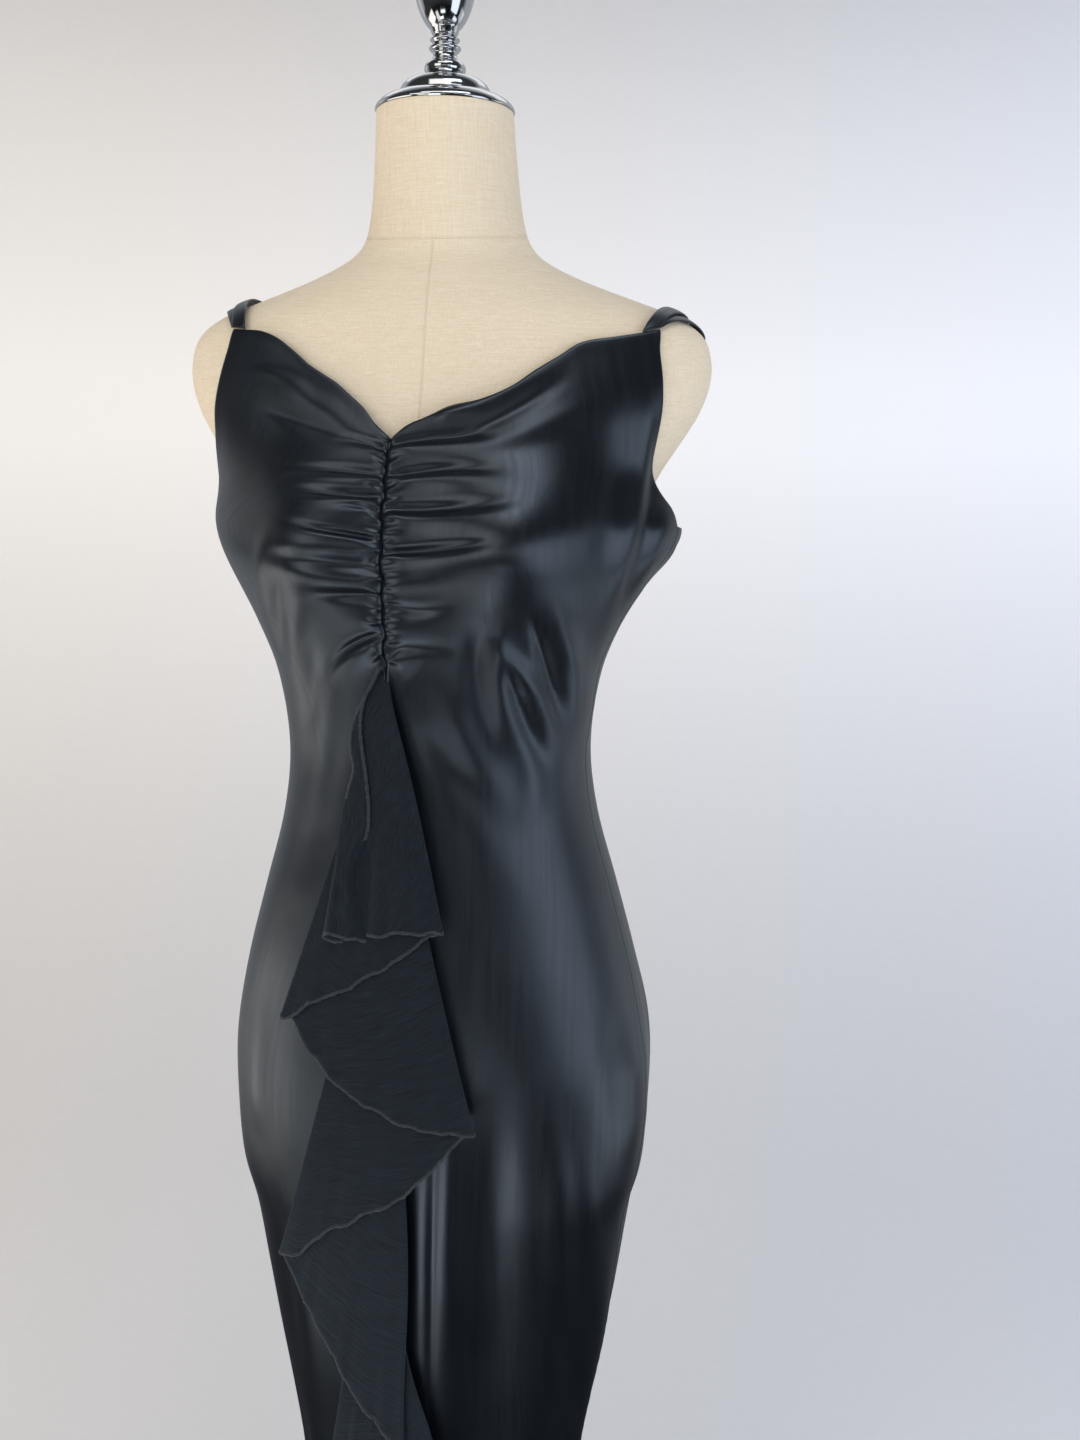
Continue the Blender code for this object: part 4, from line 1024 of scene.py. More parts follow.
def resampled(path, step):
    """Points at even distances along a path, and how far along it they are."""
    lengths = np.linalg.norm(np.diff(path, axis=0), axis=1)
    run = np.concatenate(([0.0], np.cumsum(lengths)))
    spots = np.linspace(0.0, run[-1], int(run[-1] / step) + 1)
    columns = [np.interp(spots, run, path[:, axis]) for axis in range(path.shape[1])]
    return np.stack(columns, axis=1), spots


def close_tube(mesh, merge):
    """Join the two edges of a sheet rolled into a tube, and fill the tube's ends."""
    bm = bmesh.new()
    bm.from_mesh(mesh)
    bmesh.ops.remove_doubles(bm, verts=bm.verts, dist=merge)
    bmesh.ops.holes_fill(bm, edges=[edge for edge in bm.edges if edge.is_boundary])
    bmesh.ops.recalc_face_normals(bm, faces=bm.faces)
    bm.to_mesh(mesh)
    bm.free()


def make_thread_edge(name, edge, inner, material):
    """Overlock thread wrapped round an edge; inner is a line just inside the edge."""
    both, run = resampled(np.concatenate((edge, inner), axis=1), STITCH_LENGTH / 4)
    path, inner = both[:, :3], both[:, 3:]
    along = unit(np.gradient(path, axis=0), TINY)
    inward = inner - path
    inward = unit(inward - along * (inward * along).sum(axis=1, keepdims=True), TINY)
    facing = np.cross(along, inward)
    turn = np.linspace(0.0, 2 * pi, THREAD_SIDES + 1)[None, :]
    run = run[:, None] + 0 * turn
    slant = run / STITCH_LENGTH * 2 * pi + turn
    loops = 1 + STITCH_HEIGHT * np.sin(slant) + waves(STITCH_WAVES, run)
    wide = inward[:, None, :] * (THREAD_WIDTH * np.cos(turn) * loops)[..., None]
    deep = facing[:, None, :] * (THREAD_DEPTH * np.sin(turn) * loops)[..., None]
    centre = path + inward * THREAD_WIDTH * THREAD_INSET
    flat = np.stack((turn * THREAD_WIDTH + 0 * slant, run), axis=-1)
    mesh = cloth_mesh(name, centre[:, None, :] + wide + deep, flat)
    close_tube(mesh, FINE_MERGE)
    return add_piece(name, mesh, material)


def inside_form(x, y, z):
    half_width, middle, front, back, square = section_at(FORM, z)
    depth = np.where(y < middle, front, back)
    return (np.abs(x) / half_width) ** square + (np.abs(y - middle) / depth) ** square < 1


def over_shoulder(x, turn):
    """The form's surface above x, turned from the front (0) over the top to the back."""
    middle_y, middle_z = SHOULDER_MIDDLE
    near, far = np.zeros_like(turn + x), np.full_like(turn + x, SHOULDER_REACH)
    for _ in range(SHOULDER_HALVINGS):
        half = (near + far) / 2
        inside = inside_form(x, middle_y - half * np.cos(turn), middle_z + half * np.sin(turn))
        near, far = np.where(inside, half, near), np.where(inside, far, half)
    y, z = middle_y - near * np.cos(turn), middle_z + near * np.sin(turn)
    return np.stack((x + 0 * near, y, z), axis=-1)


def front_top(x):
    """Height of a front panel's upper edge at places beside the centre."""
    side, column = (1, "right") if x[0] > 0 else (-1, "left")
    z = np.full_like(x, NECKLINE[-1].right)
    for _ in range(NECKLINE_ROUNDS):
        seam = angle_of(CENTRE_SEAM_X, z)
        edge = side * np.radians(table_curve(ARMHOLE, "z", column, z))
        z = table_curve(NECKLINE, "share", column, (angle_of(x, z) - seam) / (edge - seam))
    return z


def strap_points(x, turn, lift):
    """Places lift above the form's surface, where a strap passes over it."""
    step, beside = radians(4), 0.005
    along = over_shoulder(x, turn + step) - over_shoulder(x, turn - step)
    across = over_shoulder(x + beside, turn) - over_shoulder(x - beside, turn)
    normals = unit(np.cross(across, along))
    return over_shoulder(x, turn) + normals * (lift + 0 * turn)[..., None]


def turn_at(x, z, lift, low, high):
    """The turns between low and high at which a strap beside x passes height z."""
    low, high = np.full_like(x, low), np.full_like(x, high)
    rising = strap_points(x, high, lift)[:, 2] > strap_points(x, low, lift)[:, 2]
    for _ in range(STRAP_HALVINGS):
        half = (low + high) / 2
        below = (strap_points(x, half, lift)[:, 2] < z) == rising
        low, high = np.where(below, half, low), np.where(below, high, half)
    return high


def strap_middle(strap, v):
    """Where the middle of a strap runs, as an x and a lift off the form."""
    crest = np.minimum(v / STRAP_CREST, 1.0)
    down = np.maximum((v - STRAP_CREST) / (1 - STRAP_CREST), 0.0)
    x = strap.front_x + (strap.crest_x - strap.front_x) * np.sin(pi / 2 * crest)
    x = x + (strap.back_x - strap.crest_x) * (1 - np.cos(pi / 2 * down))
    lift = strap.lift + STRAP_BASE_LIFT * (1 - crest)
    return strap.side * x, lift + (STRAP_END_LIFT - strap.lift) * down**2


def make_strap(strap, material):
    """A flat band from the front's peak over the shoulder to the back's upper edge."""
    u = np.linspace(0.0, 1.0, STRAP_CELLS + 1)
    aside = (u - 0.5) * STRAP_WIDTH
    x, lift = strap_middle(strap, 0.0)
    front_z = front_top(x + aside) + STRAP_GAP
    start = turn_at(x + aside, front_z, lift - SATIN, *FRONT_TURNS)
    x, lift = strap_middle(strap, 1.0)
    back_z = back_top(pi - angle_of(x + aside, BACK_EDGE)) + STRAP_GAP
    end = turn_at(x + aside, back_z, lift - SATIN, *BACK_TURNS)
    v = np.linspace(0.0, 1.0, STRAP_ROWS + 1)[:, None]
    x, lift = strap_middle(strap, v)
    rim = bell(np.minimum(u, 1 - u)[None, :], STRAP_RIM)
    crown = STRAP_CROWN * np.sin(pi * u)[None, :] - STRAP_CROWN * rim
    points = strap_points(x + aside[None, :], start + (end - start) * v, lift + crown)
    return add_sheet(strap.name, points, SATIN, INWARD, material)


def make_form(name, material):
    """The torso: neck, shoulders and hips lofted as one smooth closed body."""
    z = np.linspace(FORM_BOTTOM, NECK_TOP, FORM_ROWS + 1)[:, None]
    angle = np.linspace(0.0, 2 * pi, FORM_CELLS + 1)[None, :] + 0 * z
    z = z + 0 * angle
    flat = np.stack((angle * FORM_RADIUS, z), axis=-1)
    mesh = cloth_mesh(name, body_points(FORM, FORM_BUST, angle, z), flat)
    close_tube(mesh, FORM_MERGE)
    piece = add_piece(name, mesh, material)
    mesh.set_sharp_from_angle(angle=radians(50))
    return piece


def rounded(outline, steps):
    """More points on a smooth line through an outline's points."""
    spots = np.concatenate(([0.0], np.cumsum(np.hypot(*np.diff(np.array(outline), axis=0).T))))
    Spot = namedtuple("Spot", "run radius z")
    rows = [Spot(run, radius, z) for run, (radius, z) in zip(spots, outline)]
    shares = np.arange((len(spots) - 1) * steps + 1) / steps
    fine = np.interp(shares, np.arange(len(spots)), spots)
    return list(zip(table_curve(rows, "run", "radius", fine), table_curve(rows, "run", "z", fine)))


def turned_mesh(name, outline, centre_y, steps, merge):
    """An outline of (radius, height) places, turned round an upright axis."""
    bm = bmesh.new()
    verts = [bm.verts.new((radius, centre_y, z)) for radius, z in outline]
    edges = [bm.edges.new(pair) for pair in zip(verts, verts[1:])]
    bmesh.ops.spin(
        bm,
        geom=verts + edges,
        cent=(0.0, centre_y, 0.0),
        axis=(0.0, 0.0, 1.0),
        angle=2 * pi,
        steps=steps,
        use_merge=True,
    )
    bmesh.ops.remove_doubles(bm, verts=bm.verts, dist=merge)
    bmesh.ops.recalc_face_normals(bm, faces=bm.faces)
    mesh = bpy.data.meshes.new(name)
    bm.to_mesh(mesh)
    bm.free()
    return mesh


def make_turned(name, outline, centre_y, material):
    """A turned piece: its outline runs from the axis at the top to the axis below."""
    mesh = turned_mesh(name, outline, centre_y, TURNED_STEPS, FINE_MERGE)
    piece = add_piece(name, mesh, material)
    mesh.set_sharp_from_angle(angle=radians(40))
    return piece


def neck_cap_outline():
    """A stepped, domed disc that closes the neck."""
    rim = NECK_TOP + SEAM_GAP
    dome = [
        (0.0170, rim + NECK_CAP_HEIGHT),
        (0.0215, rim + NECK_CAP_HEIGHT - 0.0004),
        (0.0270, rim + 0.0205),
        (0.0305, rim + 0.0178),
        (0.0325, rim + 0.0148),
        (0.0337, rim + 0.0112),
    ]
    brim = [
        (0.0340, rim + 0.0112),
        (0.0368, rim + 0.0106),
        (0.0410, rim + 0.0091),
        (0.0460, rim + 0.0066),
        (0.0492, rim + 0.0038),
        (0.0504, rim + 0.0018),
        (0.0505, rim + 0.0008),
        (0.0500, rim),
    ]
    return [(0.0, rim + NECK_CAP_HEIGHT)] + rounded(dome, 5) + rounded(brim, 5) + [(0.0, rim)]


def finial_outline():
    """A ball, a ringed neck and an egg-shaped knob."""
    foot = NECK_TOP + NECK_CAP_HEIGHT + 2 * SEAM_GAP
    knob = []
    for degrees in range(0, 156, 5):
        rise = KNOB_TOP_RISE if degrees < 90 else KNOB_RISE
        radius = KNOB_RADIUS * sin(radians(degrees)) ** 0.9
        knob.append((radius, KNOB_Z + rise * cos(radians(degrees))))
    rings = [
        (0.0095, 0.0372),
        (0.0084, 0.0358),
        (0.0096, 0.0347),
        (0.0108, 0.0332),
        (0.0098, 0.0318),
        (0.0090, 0.0306),
        (0.0104, 0.0293),
        (0.0116, 0.0276),
        (0.0106, 0.0259),
        (0.0088, 0.0243),
        (0.0086, 0.0222),
    ]
    ball = []
    for degrees in range(50, -56, -7):
        height = BALL_Z + BALL_HALF_HEIGHT * sin(radians(degrees))
        ball.append((BALL_RADIUS * cos(radians(degrees)), height))
    lowest = ball[-1][1]
    outline = knob + rounded(rings, 4) + ball + [(0.0, lowest)]
    return [(radius, foot + z - lowest) for radius, z in outline]


def base_outline():
    """A heavy round foot with a rounded rim and a collar for the pole."""
    top = BASE_HEIGHT + COLLAR_HEIGHT
    collar = [
        (POLE_RADIUS + 0.004, top),
        (POLE_RADIUS + 0.0075, BASE_HEIGHT + 0.0185),
        (POLE_RADIUS + 0.0095, BASE_HEIGHT + 0.0140),
        (POLE_RADIUS + 0.0120, BASE_HEIGHT + 0.0035),
        (POLE_RADIUS + 0.0170, BASE_HEIGHT),
    ]
    plate = [
        (BASE_RADIUS * 0.6, BASE_HEIGHT - 0.002),
        (BASE_RADIUS - 0.012, BASE_HEIGHT - 0.006),
        (BASE_RADIUS - 0.002, BASE_HEIGHT - 0.010),
        (BASE_RADIUS, BASE_HEIGHT - 0.013),
        (BASE_RADIUS, 0.0015),
        (BASE_RADIUS - 0.0015, 0.0),
    ]
    return [(0.0, top)] + rounded(collar, 4) + rounded(plate, 4) + [(0.0, 0.0)]


def pole_outline():
    """A plain tube with bevelled ends, from the base's collar to the form."""
    top, foot = FORM_BOTTOM - SEAM_GAP, BASE_HEIGHT + COLLAR_HEIGHT + SEAM_GAP
    return [
        (0.0, top),
        (POLE_RADIUS - POLE_BEVEL, top),
        (POLE_RADIUS, top - POLE_BEVEL),
        (POLE_RADIUS, foot + POLE_BEVEL),
        (POLE_RADIUS - POLE_BEVEL, foot),
        (0.0, foot),
    ]


def fill(tree, socket, value):
    """Give an input its value, or link it to another node's output."""
    if isinstance(value, bpy.types.NodeSocket):
        tree.links.new(value, socket)
    else:
        socket.default_value = value


def fill_inputs(tree, node, **inputs):
    """Fill a node's inputs by name, with _ for each space."""
    for name, value in inputs.items():
        fill(tree, node.inputs[name.replace("_", " ")], value)


def add_node(tree, kind, options=(), **inputs):
    """Add a node with its options set and its inputs filled."""
    node = tree.nodes.new(kind)
    for name, value in options:
        setattr(node, name, value)
    fill_inputs(tree, node, **inputs)
    return node


def calculate(tree, operation, first, second):
    """A sum, product or other calculation of two values or node outputs."""
    node = tree.nodes.new("ShaderNodeMath")
    node.operation = operation
    fill(tree, node.inputs[0], first)
    fill(tree, node.inputs[1], second)
    return node.outputs["Value"]


def mapped(tree, value, low, high, to_low=0.0, to_high=1.0):
    """A value's range turned into another range."""
    ranges = {"From_Min": low, "From_Max": high, "To_Min": to_low, "To_Max": to_high}
    return add_node(tree, "ShaderNodeMapRange", Value=value, **ranges).outputs["Result"]


def blended(tree, share, first, second):
    """Two colours mixed by a share. Each is red, green and blue, or a node output."""
    node = tree.nodes.new("ShaderNodeMix")
    node.data_type = "RGBA"
    factor, first_color, second_color = node.inputs[0], node.inputs[6], node.inputs[7]
    fill(tree, factor, share)
    for socket, value in ((first_color, first), (second_color, second)):
        fill(tree, socket, (*value, 1.0) if isinstance(value, tuple) else value)
    return node.outputs[2]


def layered(tree, *textures):
    """The sum of some textures, each times its weight."""
    total = None
    for texture, weight in textures:
        part = texture if weight == 1 else mapped(tree, texture, 0.0, 1.0, 0.0, weight)
        total = part if total is None else calculate(tree, "ADD", total, part)
    return total


def noise(tree, places, scale, detail, roughness=0.5):
    """Cloudy noise, at places made finer by a scale along each axis."""
    stretched = add_node(tree, "ShaderNodeMapping", Vector=places, Scale=scale)
    vector = stretched.outputs["Vector"]
    options = {"Scale": 1.0, "Detail": detail, "Roughness": roughness}
    return add_node(tree, "ShaderNodeTexNoise", Vector=vector, **options).outputs["Fac"]


def cloth_noise(tree, across, up, detail, roughness=0.5):
    """Noise on the cloth's own map, with so many grains to the metre across and up it."""
    places = add_node(tree, "ShaderNodeUVMap", [("uv_map", "cloth")])
    return noise(tree, places.outputs["UV"], (across, up, 1.0), detail, roughness)


def object_noise(tree, scale, detail, roughness=0.5):
    """Noise in the piece's own space, with a scale for each axis."""
    places = add_node(tree, "ShaderNodeTexCoord")
    return noise(tree, places.outputs["Object"], scale, detail, roughness)


def object_axes(tree):
    """A piece's own x, y and z, each as a node output."""
    places = add_node(tree, "ShaderNodeTexCoord")
    axes = add_node(tree, "ShaderNodeSeparateXYZ", Vector=places.outputs["Object"])
    return axes.outputs["X"], axes.outputs["Y"], axes.outputs["Z"]


def new_material(name, color, roughness):
    """A material with its shader, ready for the nodes of its surface."""
    material = bpy.data.materials.new(name)
    material.diffuse_color = (*color, 1.0)
    material.use_nodes = True
    shader = material.node_tree.nodes["Principled BSDF"]
    shader.inputs["Base Color"].default_value = (*color, 1.0)
    shader.inputs["Roughness"].default_value = roughness
    return material, material.node_tree, shader


def bump(tree, height, distance, strength):
    node = add_node(tree, "ShaderNodeBump", Height=height, Distance=distance, Strength=strength)
    return node.outputs["Normal"]


def make_satin(name):
    """Black satin: long floats that run down the cloth, with a broad cool sheen."""
    material, tree, shader = new_material(name, (0.006, 0.0075, 0.012), 0.34)
    floats = cloth_noise(tree, 1800, 60, 2.0)
    streaks = cloth_noise(tree, 260, 9, 2.0)
    patches = cloth_noise(tree, 22, 14, 2.0)
    hand = cloth_noise(tree, 75, 55, 1.0)
    dark, light = (0.0015, 0.0021, 0.0040), (0.0030, 0.0040, 0.0070)
    streaked = mapped(tree, streaks, 0.3, 0.7, 0.33, 0.40)
    grain = mapped(tree, floats, 0.3, 0.7, -0.02, 0.02)
    height = layered(tree, (streaks, 0.8), (floats, 0.9), (hand, 1.6), (patches, 8.0))
    across = add_node(tree, "ShaderNodeTangent", [("direction_type", "UV_MAP"), ("uv_map", "cloth")])
    fill_inputs(
        tree,
        shader,
        Base_Color=blended(tree, mapped(tree, patches, 0.3, 0.7), dark, light),
        Roughness=calculate(tree, "ADD", streaked, grain),
        Normal=bump(tree, height, 0.00010, 0.55),
        Specular_IOR_Level=1.0,
        Specular_Tint=(0.74, 0.86, 1.0, 1.0),
        Anisotropic=0.45,
        Tangent=across.outputs["Tangent"],
        Sheen_Weight=0.04,
        Sheen_Roughness=0.35,
        Sheen_Tint=(0.62, 0.72, 0.95, 1.0),
    )
    return material


def make_chiffon(name):
    """Matt slate-black crinkled chiffon, with fine creases that run down each fold, its colour
    painted darker where they sink.
    """
    material, tree, shader = new_material(name, (0.020, 0.026, 0.034), 0.85)
    crinkle_and_painted_shade = cloth_noise(tree, 620, 60, 3.0, 0.6)
    slack = cloth_noise(tree, 110, 60, 3.0)
    yarn = cloth_noise(tree, 2400, 2400, 1.0)
    # The colour follows the crinkle: partly the cloth's own streaky tone, partly painted shade in the
    # troughs of the creases.
    dark, light = (0.0020, 0.0046, 0.0080), (0.0078, 0.0140, 0.0225)
    height = layered(tree, (crinkle_and_painted_shade, 1), (slack, 1.4), (yarn, 0.3))
    fill_inputs(
        tree,
        shader,
        Base_Color=blended(tree, mapped(tree, crinkle_and_painted_shade, 0.3, 0.7), dark, light),
        Roughness=mapped(tree, yarn, 0.3, 0.7, 0.78, 0.92),
        Normal=bump(tree, height, 0.00060, 1.0),
        Specular_IOR_Level=0.30,
        Sheen_Weight=0.14,
        Sheen_Roughness=0.45,
        Sheen_Tint=(0.52, 0.68, 0.84, 1.0),
    )
    return material


def make_thread(name):
    """Slate overlock thread, its colour lighter where a noise also raises its loops: a painted
    highlight on the raised loops.
    """
    material, tree, shader = new_material(name, (0.030, 0.040, 0.050), 0.75)
    loops = cloth_noise(tree, 900, 430, 2.0)
    # Painted highlight: the lighter colour falls where the bump raises the loops.
    dark, light = (0.0070, 0.0100, 0.0140), (0.028, 0.037, 0.048)
    fill_inputs(
        tree,
        shader,
        Base_Color=blended(tree, mapped(tree, loops, 0.3, 0.7), dark, light),
        Normal=bump(tree, loops, 0.0002, 0.7),
        Sheen_Weight=0.25,
        Sheen_Roughness=0.4,
    )
    return material


def seam_line(tree, distance, half_width):
    """1 on a seam, 0 beside it."""
    away = calculate(tree, "ABSOLUTE", distance, 0.0)
    return mapped(tree, away, half_width * 0.4, half_width * 1.6, 1.0, 0.0)


def make_linen(name):
    """Cream linen with slubs in both directions and the seams of the form's cover."""
    material, tree, shader = new_material(name, (0.72, 0.64, 0.51), 0.85)
    across = object_noise(tree, (70, 70, 1500), 3.0, 0.6)
    down = object_noise(tree, (1300, 1300, 60), 3.0, 0.6)
    slubs = object_noise(tree, (90, 90, 900), 2.0)
    flecks = object_noise(tree, (420, 420, 300), 3.0, 0.7)
    weave = calculate(tree, "ADD", across, down)
    dark, light = (0.69, 0.565, 0.400), (0.80, 0.695, 0.530)
    slub_color, fleck_color, seam_color = (0.86, 0.80, 0.69), (0.50, 0.39, 0.26), (0.60, 0.47, 0.32)
    shade = blended(tree, mapped(tree, weave, 0.7, 1.3), dark, light)
    shade = blended(tree, mapped(tree, slubs, 0.62, 0.74, 0.0, 0.45), shade, slub_color)
    shade = blended(tree, mapped(tree, flecks, 0.66, 0.80, 0.0, 0.55), shade, fleck_color)

    x, y, z = object_axes(tree)
    centre = seam_line(tree, x, COVER_SEAM_WIDTH)
    slope = calculate(tree, "MULTIPLY", y, COLLAR_SEAM_SLOPE)
    above_collar = calculate(tree, "ADD", calculate(tree, "SUBTRACT", z, COLLAR_SEAM_Z), slope)
    collar = seam_line(tree, above_collar, COVER_SEAM_WIDTH)
    below_collar = mapped(tree, z, COLLAR_SEAM_Z - 0.0035, COLLAR_SEAM_Z - 0.0005, 1.0, 0.0)
    seams = calculate(tree, "MAXIMUM", calculate(tree, "MULTIPLY", centre, below_collar), collar)
    raised = calculate(tree, "ADD", weave, mapped(tree, slubs, 0.55, 0.8, 0.0, 1.2))
    height = calculate(tree, "SUBTRACT", raised, calculate(tree, "MULTIPLY", seams, 3.0))
    fill_inputs(
        tree,
        shader,
        Base_Color=blended(tree, calculate(tree, "MULTIPLY", seams, 0.22), shade, seam_color),
        Roughness=mapped(tree, weave, 0.7, 1.3, 0.92, 0.78),
        Normal=bump(tree, height, 0.00018, 0.8),
        Specular_IOR_Level=0.25,
        Sheen_Weight=0.12,
        Sheen_Roughness=0.5,
    )
    return material


def make_chrome(name):
    """Polished chrome with a faint haze of fine rubbing."""
    material, tree, shader = new_material(name, (0.60, 0.61, 0.63), 0.08)
    haze = object_noise(tree, (240, 240, 900), 3.0)
    smears = object_noise(tree, (45, 45, 60), 3.0)
    clean, rubbed = (0.66, 0.67, 0.69), (0.56, 0.57, 0.59)
    hazy = mapped(tree, haze, 0.3, 0.8, 0.04, 0.09)
    smeared = mapped(tree, smears, 0.4, 0.8, 0.0, 0.08)
    fill_inputs(
        tree,
        shader,
        Base_Color=blended(tree, mapped(tree, smears, 0.3, 0.8), clean, rubbed),
        Roughness=calculate(tree, "ADD", hazy, smeared),
        Normal=bump(tree, haze, 0.00002, 0.3),
        Metallic=1.0,
    )
    return material


def make_glowing_felt(name):
    """The curtain's black felt, which glows with painted light: not at the floor, dimly above it, and
    brightly behind.
    """
    material, tree, shader = new_material(name, (0.010, 0.010, 0.011), 0.95)
    _, y, z = object_axes(tree)
    # Painted light: the glow stands for the surroundings seen in the satin and the chrome, dark at
    # the floor and bright behind.
    above, behind = mapped(tree, z, 0.0, 0.5, 0.0, 0.035), mapped(tree, y, 0.5, 1.3, 0.0, 0.45)
    fill_inputs(
        tree,
        shader,
        Emission_Color=(0.92, 0.96, 1.0, 1.0),
        Emission_Strength=calculate(tree, "ADD", above, behind),
    )
    material.cycles.emission_sampling = "NONE"
    return material


def make_plaster(name):
    """The pale studio, which glows softly with painted light: its colour and its glow are warmer to
    the left and cooler to the right, and it glows most at middle height, less at the floor and
    towards the top.
    """
    material, tree, shader = new_material(name, (0.80, 0.80, 0.80), 0.9)
    x, _, z = object_axes(tree)
    side = mapped(tree, x, -1.6, 1.3)
    grain = object_noise(tree, (60, 60, 60), 0.0)
    # Painted light: the warm left and cool right of the colour stand for warm light from the left and
    # cool light from the right.
    warm, cool, gray = (0.81, 0.765, 0.71), (0.755, 0.785, 0.85), (0.66, 0.66, 0.68)
    warm_glow, cool_glow = (0.86, 0.82, 0.775), (0.88, 0.905, 0.98)
    shade = blended(tree, side, warm, cool)
    # Painted light: the glow rises from the floor to middle height and fades towards the top.
    lower, upper = mapped(tree, z, 0.0, 1.3, 0.02, 0.40), mapped(tree, z, 1.5, 3.0, 0.0, -0.36)
    fill_inputs(
        tree,
        shader,
        Base_Color=blended(tree, mapped(tree, grain, 0.3, 0.7, 0.0, 0.06), shade, gray),
        Emission_Color=blended(tree, side, warm_glow, cool_glow),
        Emission_Strength=calculate(tree, "ADD", lower, upper),
        Specular_IOR_Level=0.0,
    )
    material.cycles.emission_sampling = "NONE"
    return material


def make_room(material):
    """A round pale studio whose floor turns up into its wall."""
    outline = [(0.0, ROOM_FLOOR), (0.6, ROOM_FLOOR)]
    for degrees in range(0, 91, 5):
        radius = ROOM_RADIUS - ROOM_COVE + ROOM_COVE * sin(radians(degrees))
        outline.append((radius, ROOM_COVE - ROOM_COVE * cos(radians(degrees)) + ROOM_FLOOR))
    outline.append((ROOM_RADIUS, ROOM_HEIGHT))
    mesh = turned_mesh("studio", outline, 0.0, ROOM_STEPS, ROOM_MERGE)
    mesh.materials.append(material)
    mesh.shade_smooth()
    room = bpy.data.objects.new("studio", mesh)
    room.visible_glossy = False
    bpy.context.scene.collection.objects.link(room)


def make_curtain(material):
    """A glowing curtain whose painted light stands for the surroundings, dim in front and paler
    behind the dress, seen only in reflections in the satin and the chrome.
    """
    bm = bmesh.new()
    steps = CURTAIN_STEPS
    bmesh.ops.create_uvsphere(bm, u_segments=steps, v_segments=steps // 2, radius=CURTAIN_RADIUS)
    bmesh.ops.translate(bm, verts=bm.verts, vec=(0.0, 0.0, CURTAIN_MIDDLE))
    geometry = list(bm.verts) + list(bm.edges) + list(bm.faces)
    floor, up = (0.0, 0.0, CURTAIN_FLOOR), (0.0, 0.0, 1.0)
    bmesh.ops.bisect_plane(bm, geom=geometry, plane_co=floor, plane_no=up, clear_inner=True)
    bmesh.ops.holes_fill(bm, edges=[edge for edge in bm.edges if edge.is_boundary])
    mesh = bpy.data.meshes.new("curtain")
    bm.to_mesh(mesh)
    bm.free()
    mesh.materials.append(material)
    curtain = bpy.data.objects.new("curtain", mesh)
    curtain.visible_camera = False
    curtain.visible_diffuse = False
    curtain.visible_shadow = False
    curtain.visible_transmission = False
    bpy.context.scene.collection.objects.link(curtain)


# Soft boxes round the dress: where each stands, what it faces, its size in metres, its
# power in watts and its colour
Light = namedtuple("Light", "name place aim width height power color")
LIGHTS = [
    Light("window_right", (0.72, -0.84, 3.26), (0.0, 0.0, 1.1), 1.2, 0.65, 6.8, (0.82, 0.90, 1.00)),
    Light("side_right", (1.68, -0.89, 0.85), (0.0, 0.0, 0.95), 1.2, 1.4, 8.6, (0.82, 0.90, 1.00)),
    Light("front_right", (1.45, -1.95, 1.25), (0.0, 0.0, 1.1), 1.0, 0.9, 2.6, (0.90, 0.95, 1.00)),
    Light("floor_right", (1.26, -0.10, 0.22), (0.0, 0.0, 1.1), 0.7, 0.4, 1.3, (0.86, 0.93, 1.00)),
    Light("back_right", (2.10, 0.77, 0.28), (0.0, 0.0, 0.9), 1.2, 1.2, 2.2, (0.86, 0.93, 1.00)),
    Light("front_left", (-1.22, -2.12, 1.80), (0.0, 0.0, 1.1), 1.5, 1.5, 11.0, (1.00, 0.96, 0.91)),
    Light("front_middle", (-0.35, -2.50, 1.25), (0.0, 0.0, 1.1), 2.8, 0.6, 2.4, (1.00, 0.98, 0.95)),
    Light("low_middle", (0.02, -1.60, 0.20), (0.0, 0.0, 1.0), 0.7, 0.26, 1.1, (0.94, 0.97, 1.00)),
    Light("low_front", (-0.70, -1.00, 0.16), (-0.60, -0.86, 1.1), 0.45, 1.2, 2.0, (1.00, 0.97, 0.94)),
    Light("skirt_front", (-0.18, -0.87, 0.05), (0.0, 0.0, 0.7), 0.42, 0.5, 1.9, (0.90, 0.95, 1.00)),
    Light("low_left", (-1.45, -0.25, 0.28), (0.0, 0.0, 0.95), 1.4, 0.9, 6.8, (1.00, 0.94, 0.87)),
    Light("side_left", (-2.20, 0.60, 1.60), (0.0, 0.0, 1.1), 1.2, 1.2, 1.5, (1.00, 0.93, 0.85)),
    Light("top_front", (-0.10, -1.35, 3.20), (0.0, 0.0, 1.1), 1.7, 0.9, 7.4, (1.00, 0.97, 0.93)),
    Light("floor_back", (0.0, 1.5, 2.8), (0.0, 1.7, 0.0), 2.6, 1.2, 6.0, (1.00, 1.00, 1.00)),
]


def make_lights():
    for row in LIGHTS:
        data = bpy.data.lights.new(row.name, "AREA")
        data.shape = "RECTANGLE"
        data.size = row.width
        data.size_y = row.height
        data.energy = row.power
        data.color = row.color
        light = bpy.data.objects.new(row.name, data)
        light.location = row.place
        direction = Vector(row.aim) - Vector(row.place)
        light.rotation_euler = direction.to_track_quat("-Z", "Y").to_euler()
        light.visible_camera = False
        bpy.context.scene.collection.objects.link(light)
    world = bpy.data.worlds.new("soft_sky")
    world.use_nodes = True
    sky = world.node_tree.nodes["Background"]
    fill_inputs(world.node_tree, sky, Color=(0.90, 0.94, 1.00, 1.0), Strength=0.36)
    bpy.context.scene.world = world


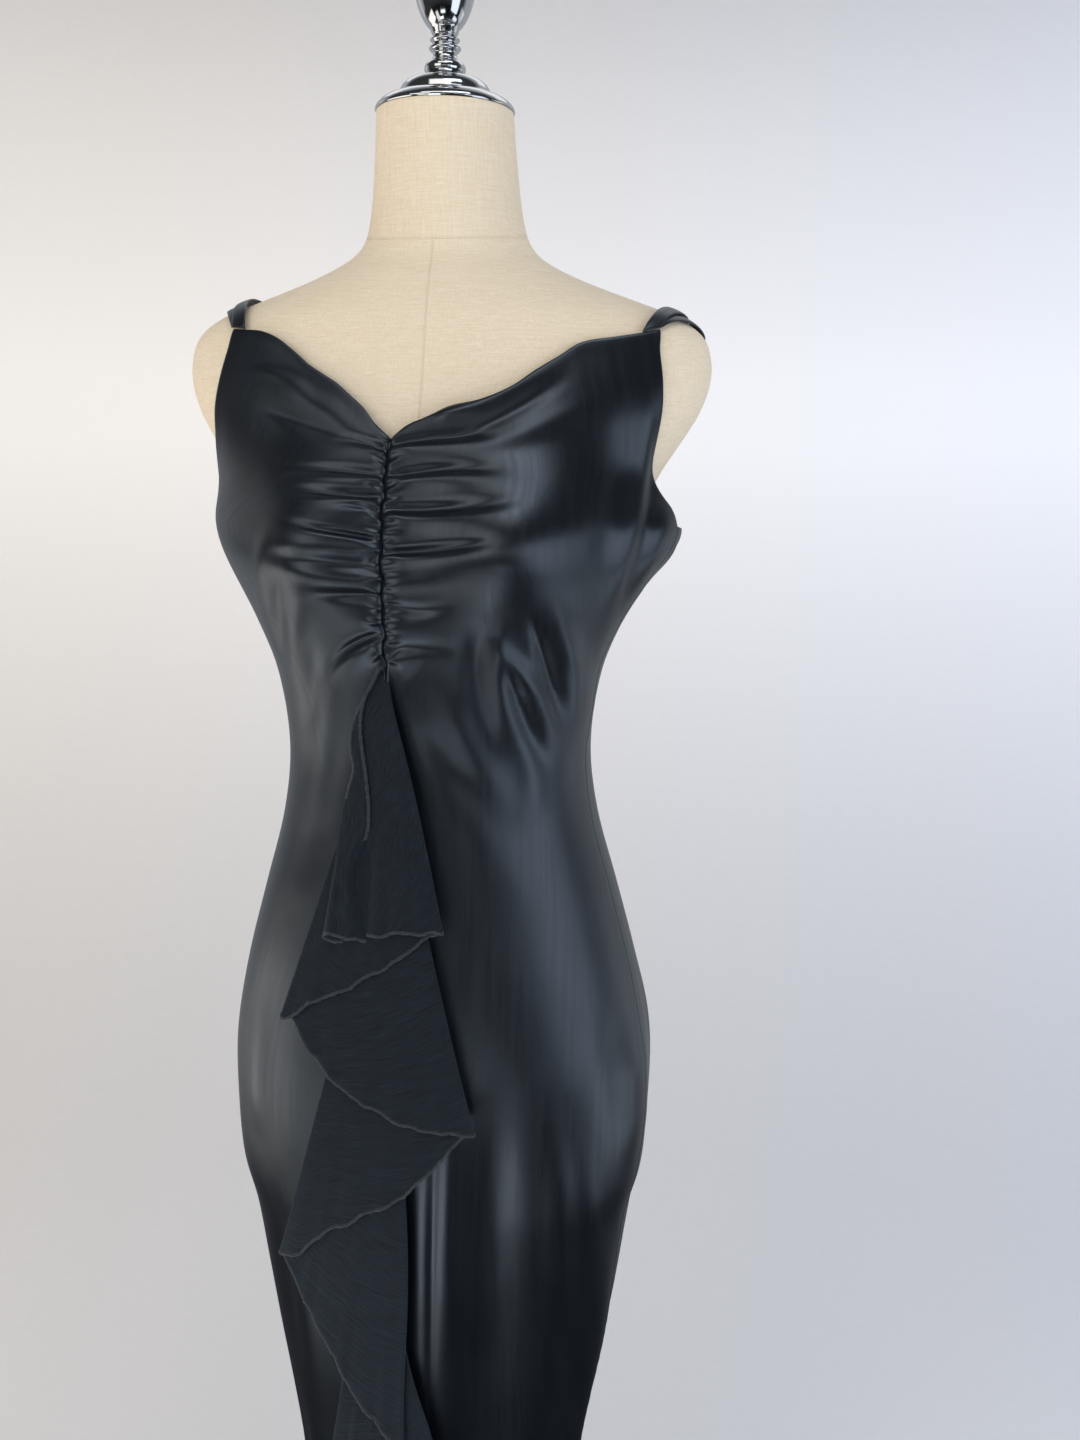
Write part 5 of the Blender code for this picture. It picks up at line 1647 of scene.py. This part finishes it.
def make_camera():
    bpy.context.scene.view_settings.view_transform = "Standard"
    data = bpy.data.cameras.new("camera")
    data.sensor_width = CAMERA_SENSOR
    data.lens = CAMERA_SENSOR * FOCAL_PIXELS / PICTURE_LENGTH
    data.clip_start = CAMERA_NEAR
    camera = bpy.data.objects.new("camera", data)
    x, y = sin(CAMERA_SIDE) * CAMERA_DISTANCE, -cos(CAMERA_SIDE) * CAMERA_DISTANCE
    camera.location = (x, y, CAMERA_HEIGHT)
    aside = Matrix.Rotation(CAMERA_SIDE - atan(PIXELS_LEFT_OF_CENTRE / FOCAL_PIXELS), 3, "Z")
    down = Matrix.Rotation(pi / 2 - CAMERA_DOWN, 3, "X")
    roll = Matrix.Rotation(CAMERA_ROLL, 3, "Z")
    camera.rotation_mode = "QUATERNION"
    camera.rotation_quaternion = (aside @ down @ roll).to_quaternion()
    bpy.context.scene.collection.objects.link(camera)
    bpy.context.scene.camera = camera


def main():
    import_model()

    satin = make_satin("black_satin_cloth")
    chiffon = make_chiffon("black_chiffon_cloth")
    thread = make_thread("overlock_thread")
    linen = make_linen("form_linen_cover")
    chrome = make_chrome("polished_chrome")

    fronts = [make_front("right_front_panel", 1, satin), make_front("left_front_panel", -1, satin)]
    back = make_back("back_panel", satin)
    ruffle, ruffle_grid, ruffle_v = make_ruffle("ruffle_cascade", chiffon)
    hem_thread = make_thread_edge("ruffle_hem_thread", ruffle_grid[0], ruffle_grid[2], thread)
    start = ruffle_grid[ruffle_v < START_THREAD_END]
    start_thread = make_thread_edge("ruffle_start_thread", start[:, 0], start[:, 2], thread)
    curl = ruffle_grid[(ruffle_v > CURL_THREAD[0]) & (ruffle_v < CURL_THREAD[1])]
    curl_edge, curl_inner = curl[:, PANEL_CELLS + 2], curl[:, PANEL_CELLS - 2]
    curl_thread = make_thread_edge("ruffle_curl_thread", curl_edge, curl_inner, thread)
    straps = [make_strap(strap, satin) for strap in STRAPS]
    form = make_form("form_torso", linen)
    cap = make_turned("neck_cap_turned", neck_cap_outline(), NECK_CENTRE, chrome)
    finial = make_turned("finial_turned", finial_outline(), NECK_CENTRE, chrome)
    pole = make_turned("pole_turned", pole_outline(), 0.0, chrome)
    base = make_turned("base_turned", base_outline(), 0.0, chrome)

    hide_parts("front_right")
    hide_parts("front_left")
    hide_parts("back")
    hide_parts("ruffle")
    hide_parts("form_body")
    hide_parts("neck_cap")
    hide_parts("finial")
    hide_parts("pole")
    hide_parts("base")
    for strap, piece in zip(STRAPS, straps):
        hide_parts(strap.name)
        piece.name = strap.name + "_band"

    make_room(make_plaster("studio_plaster_painted_glow"))
    make_curtain(make_glowing_felt("black_felt_painted_glow"))
    make_lights()
    make_camera()


main()
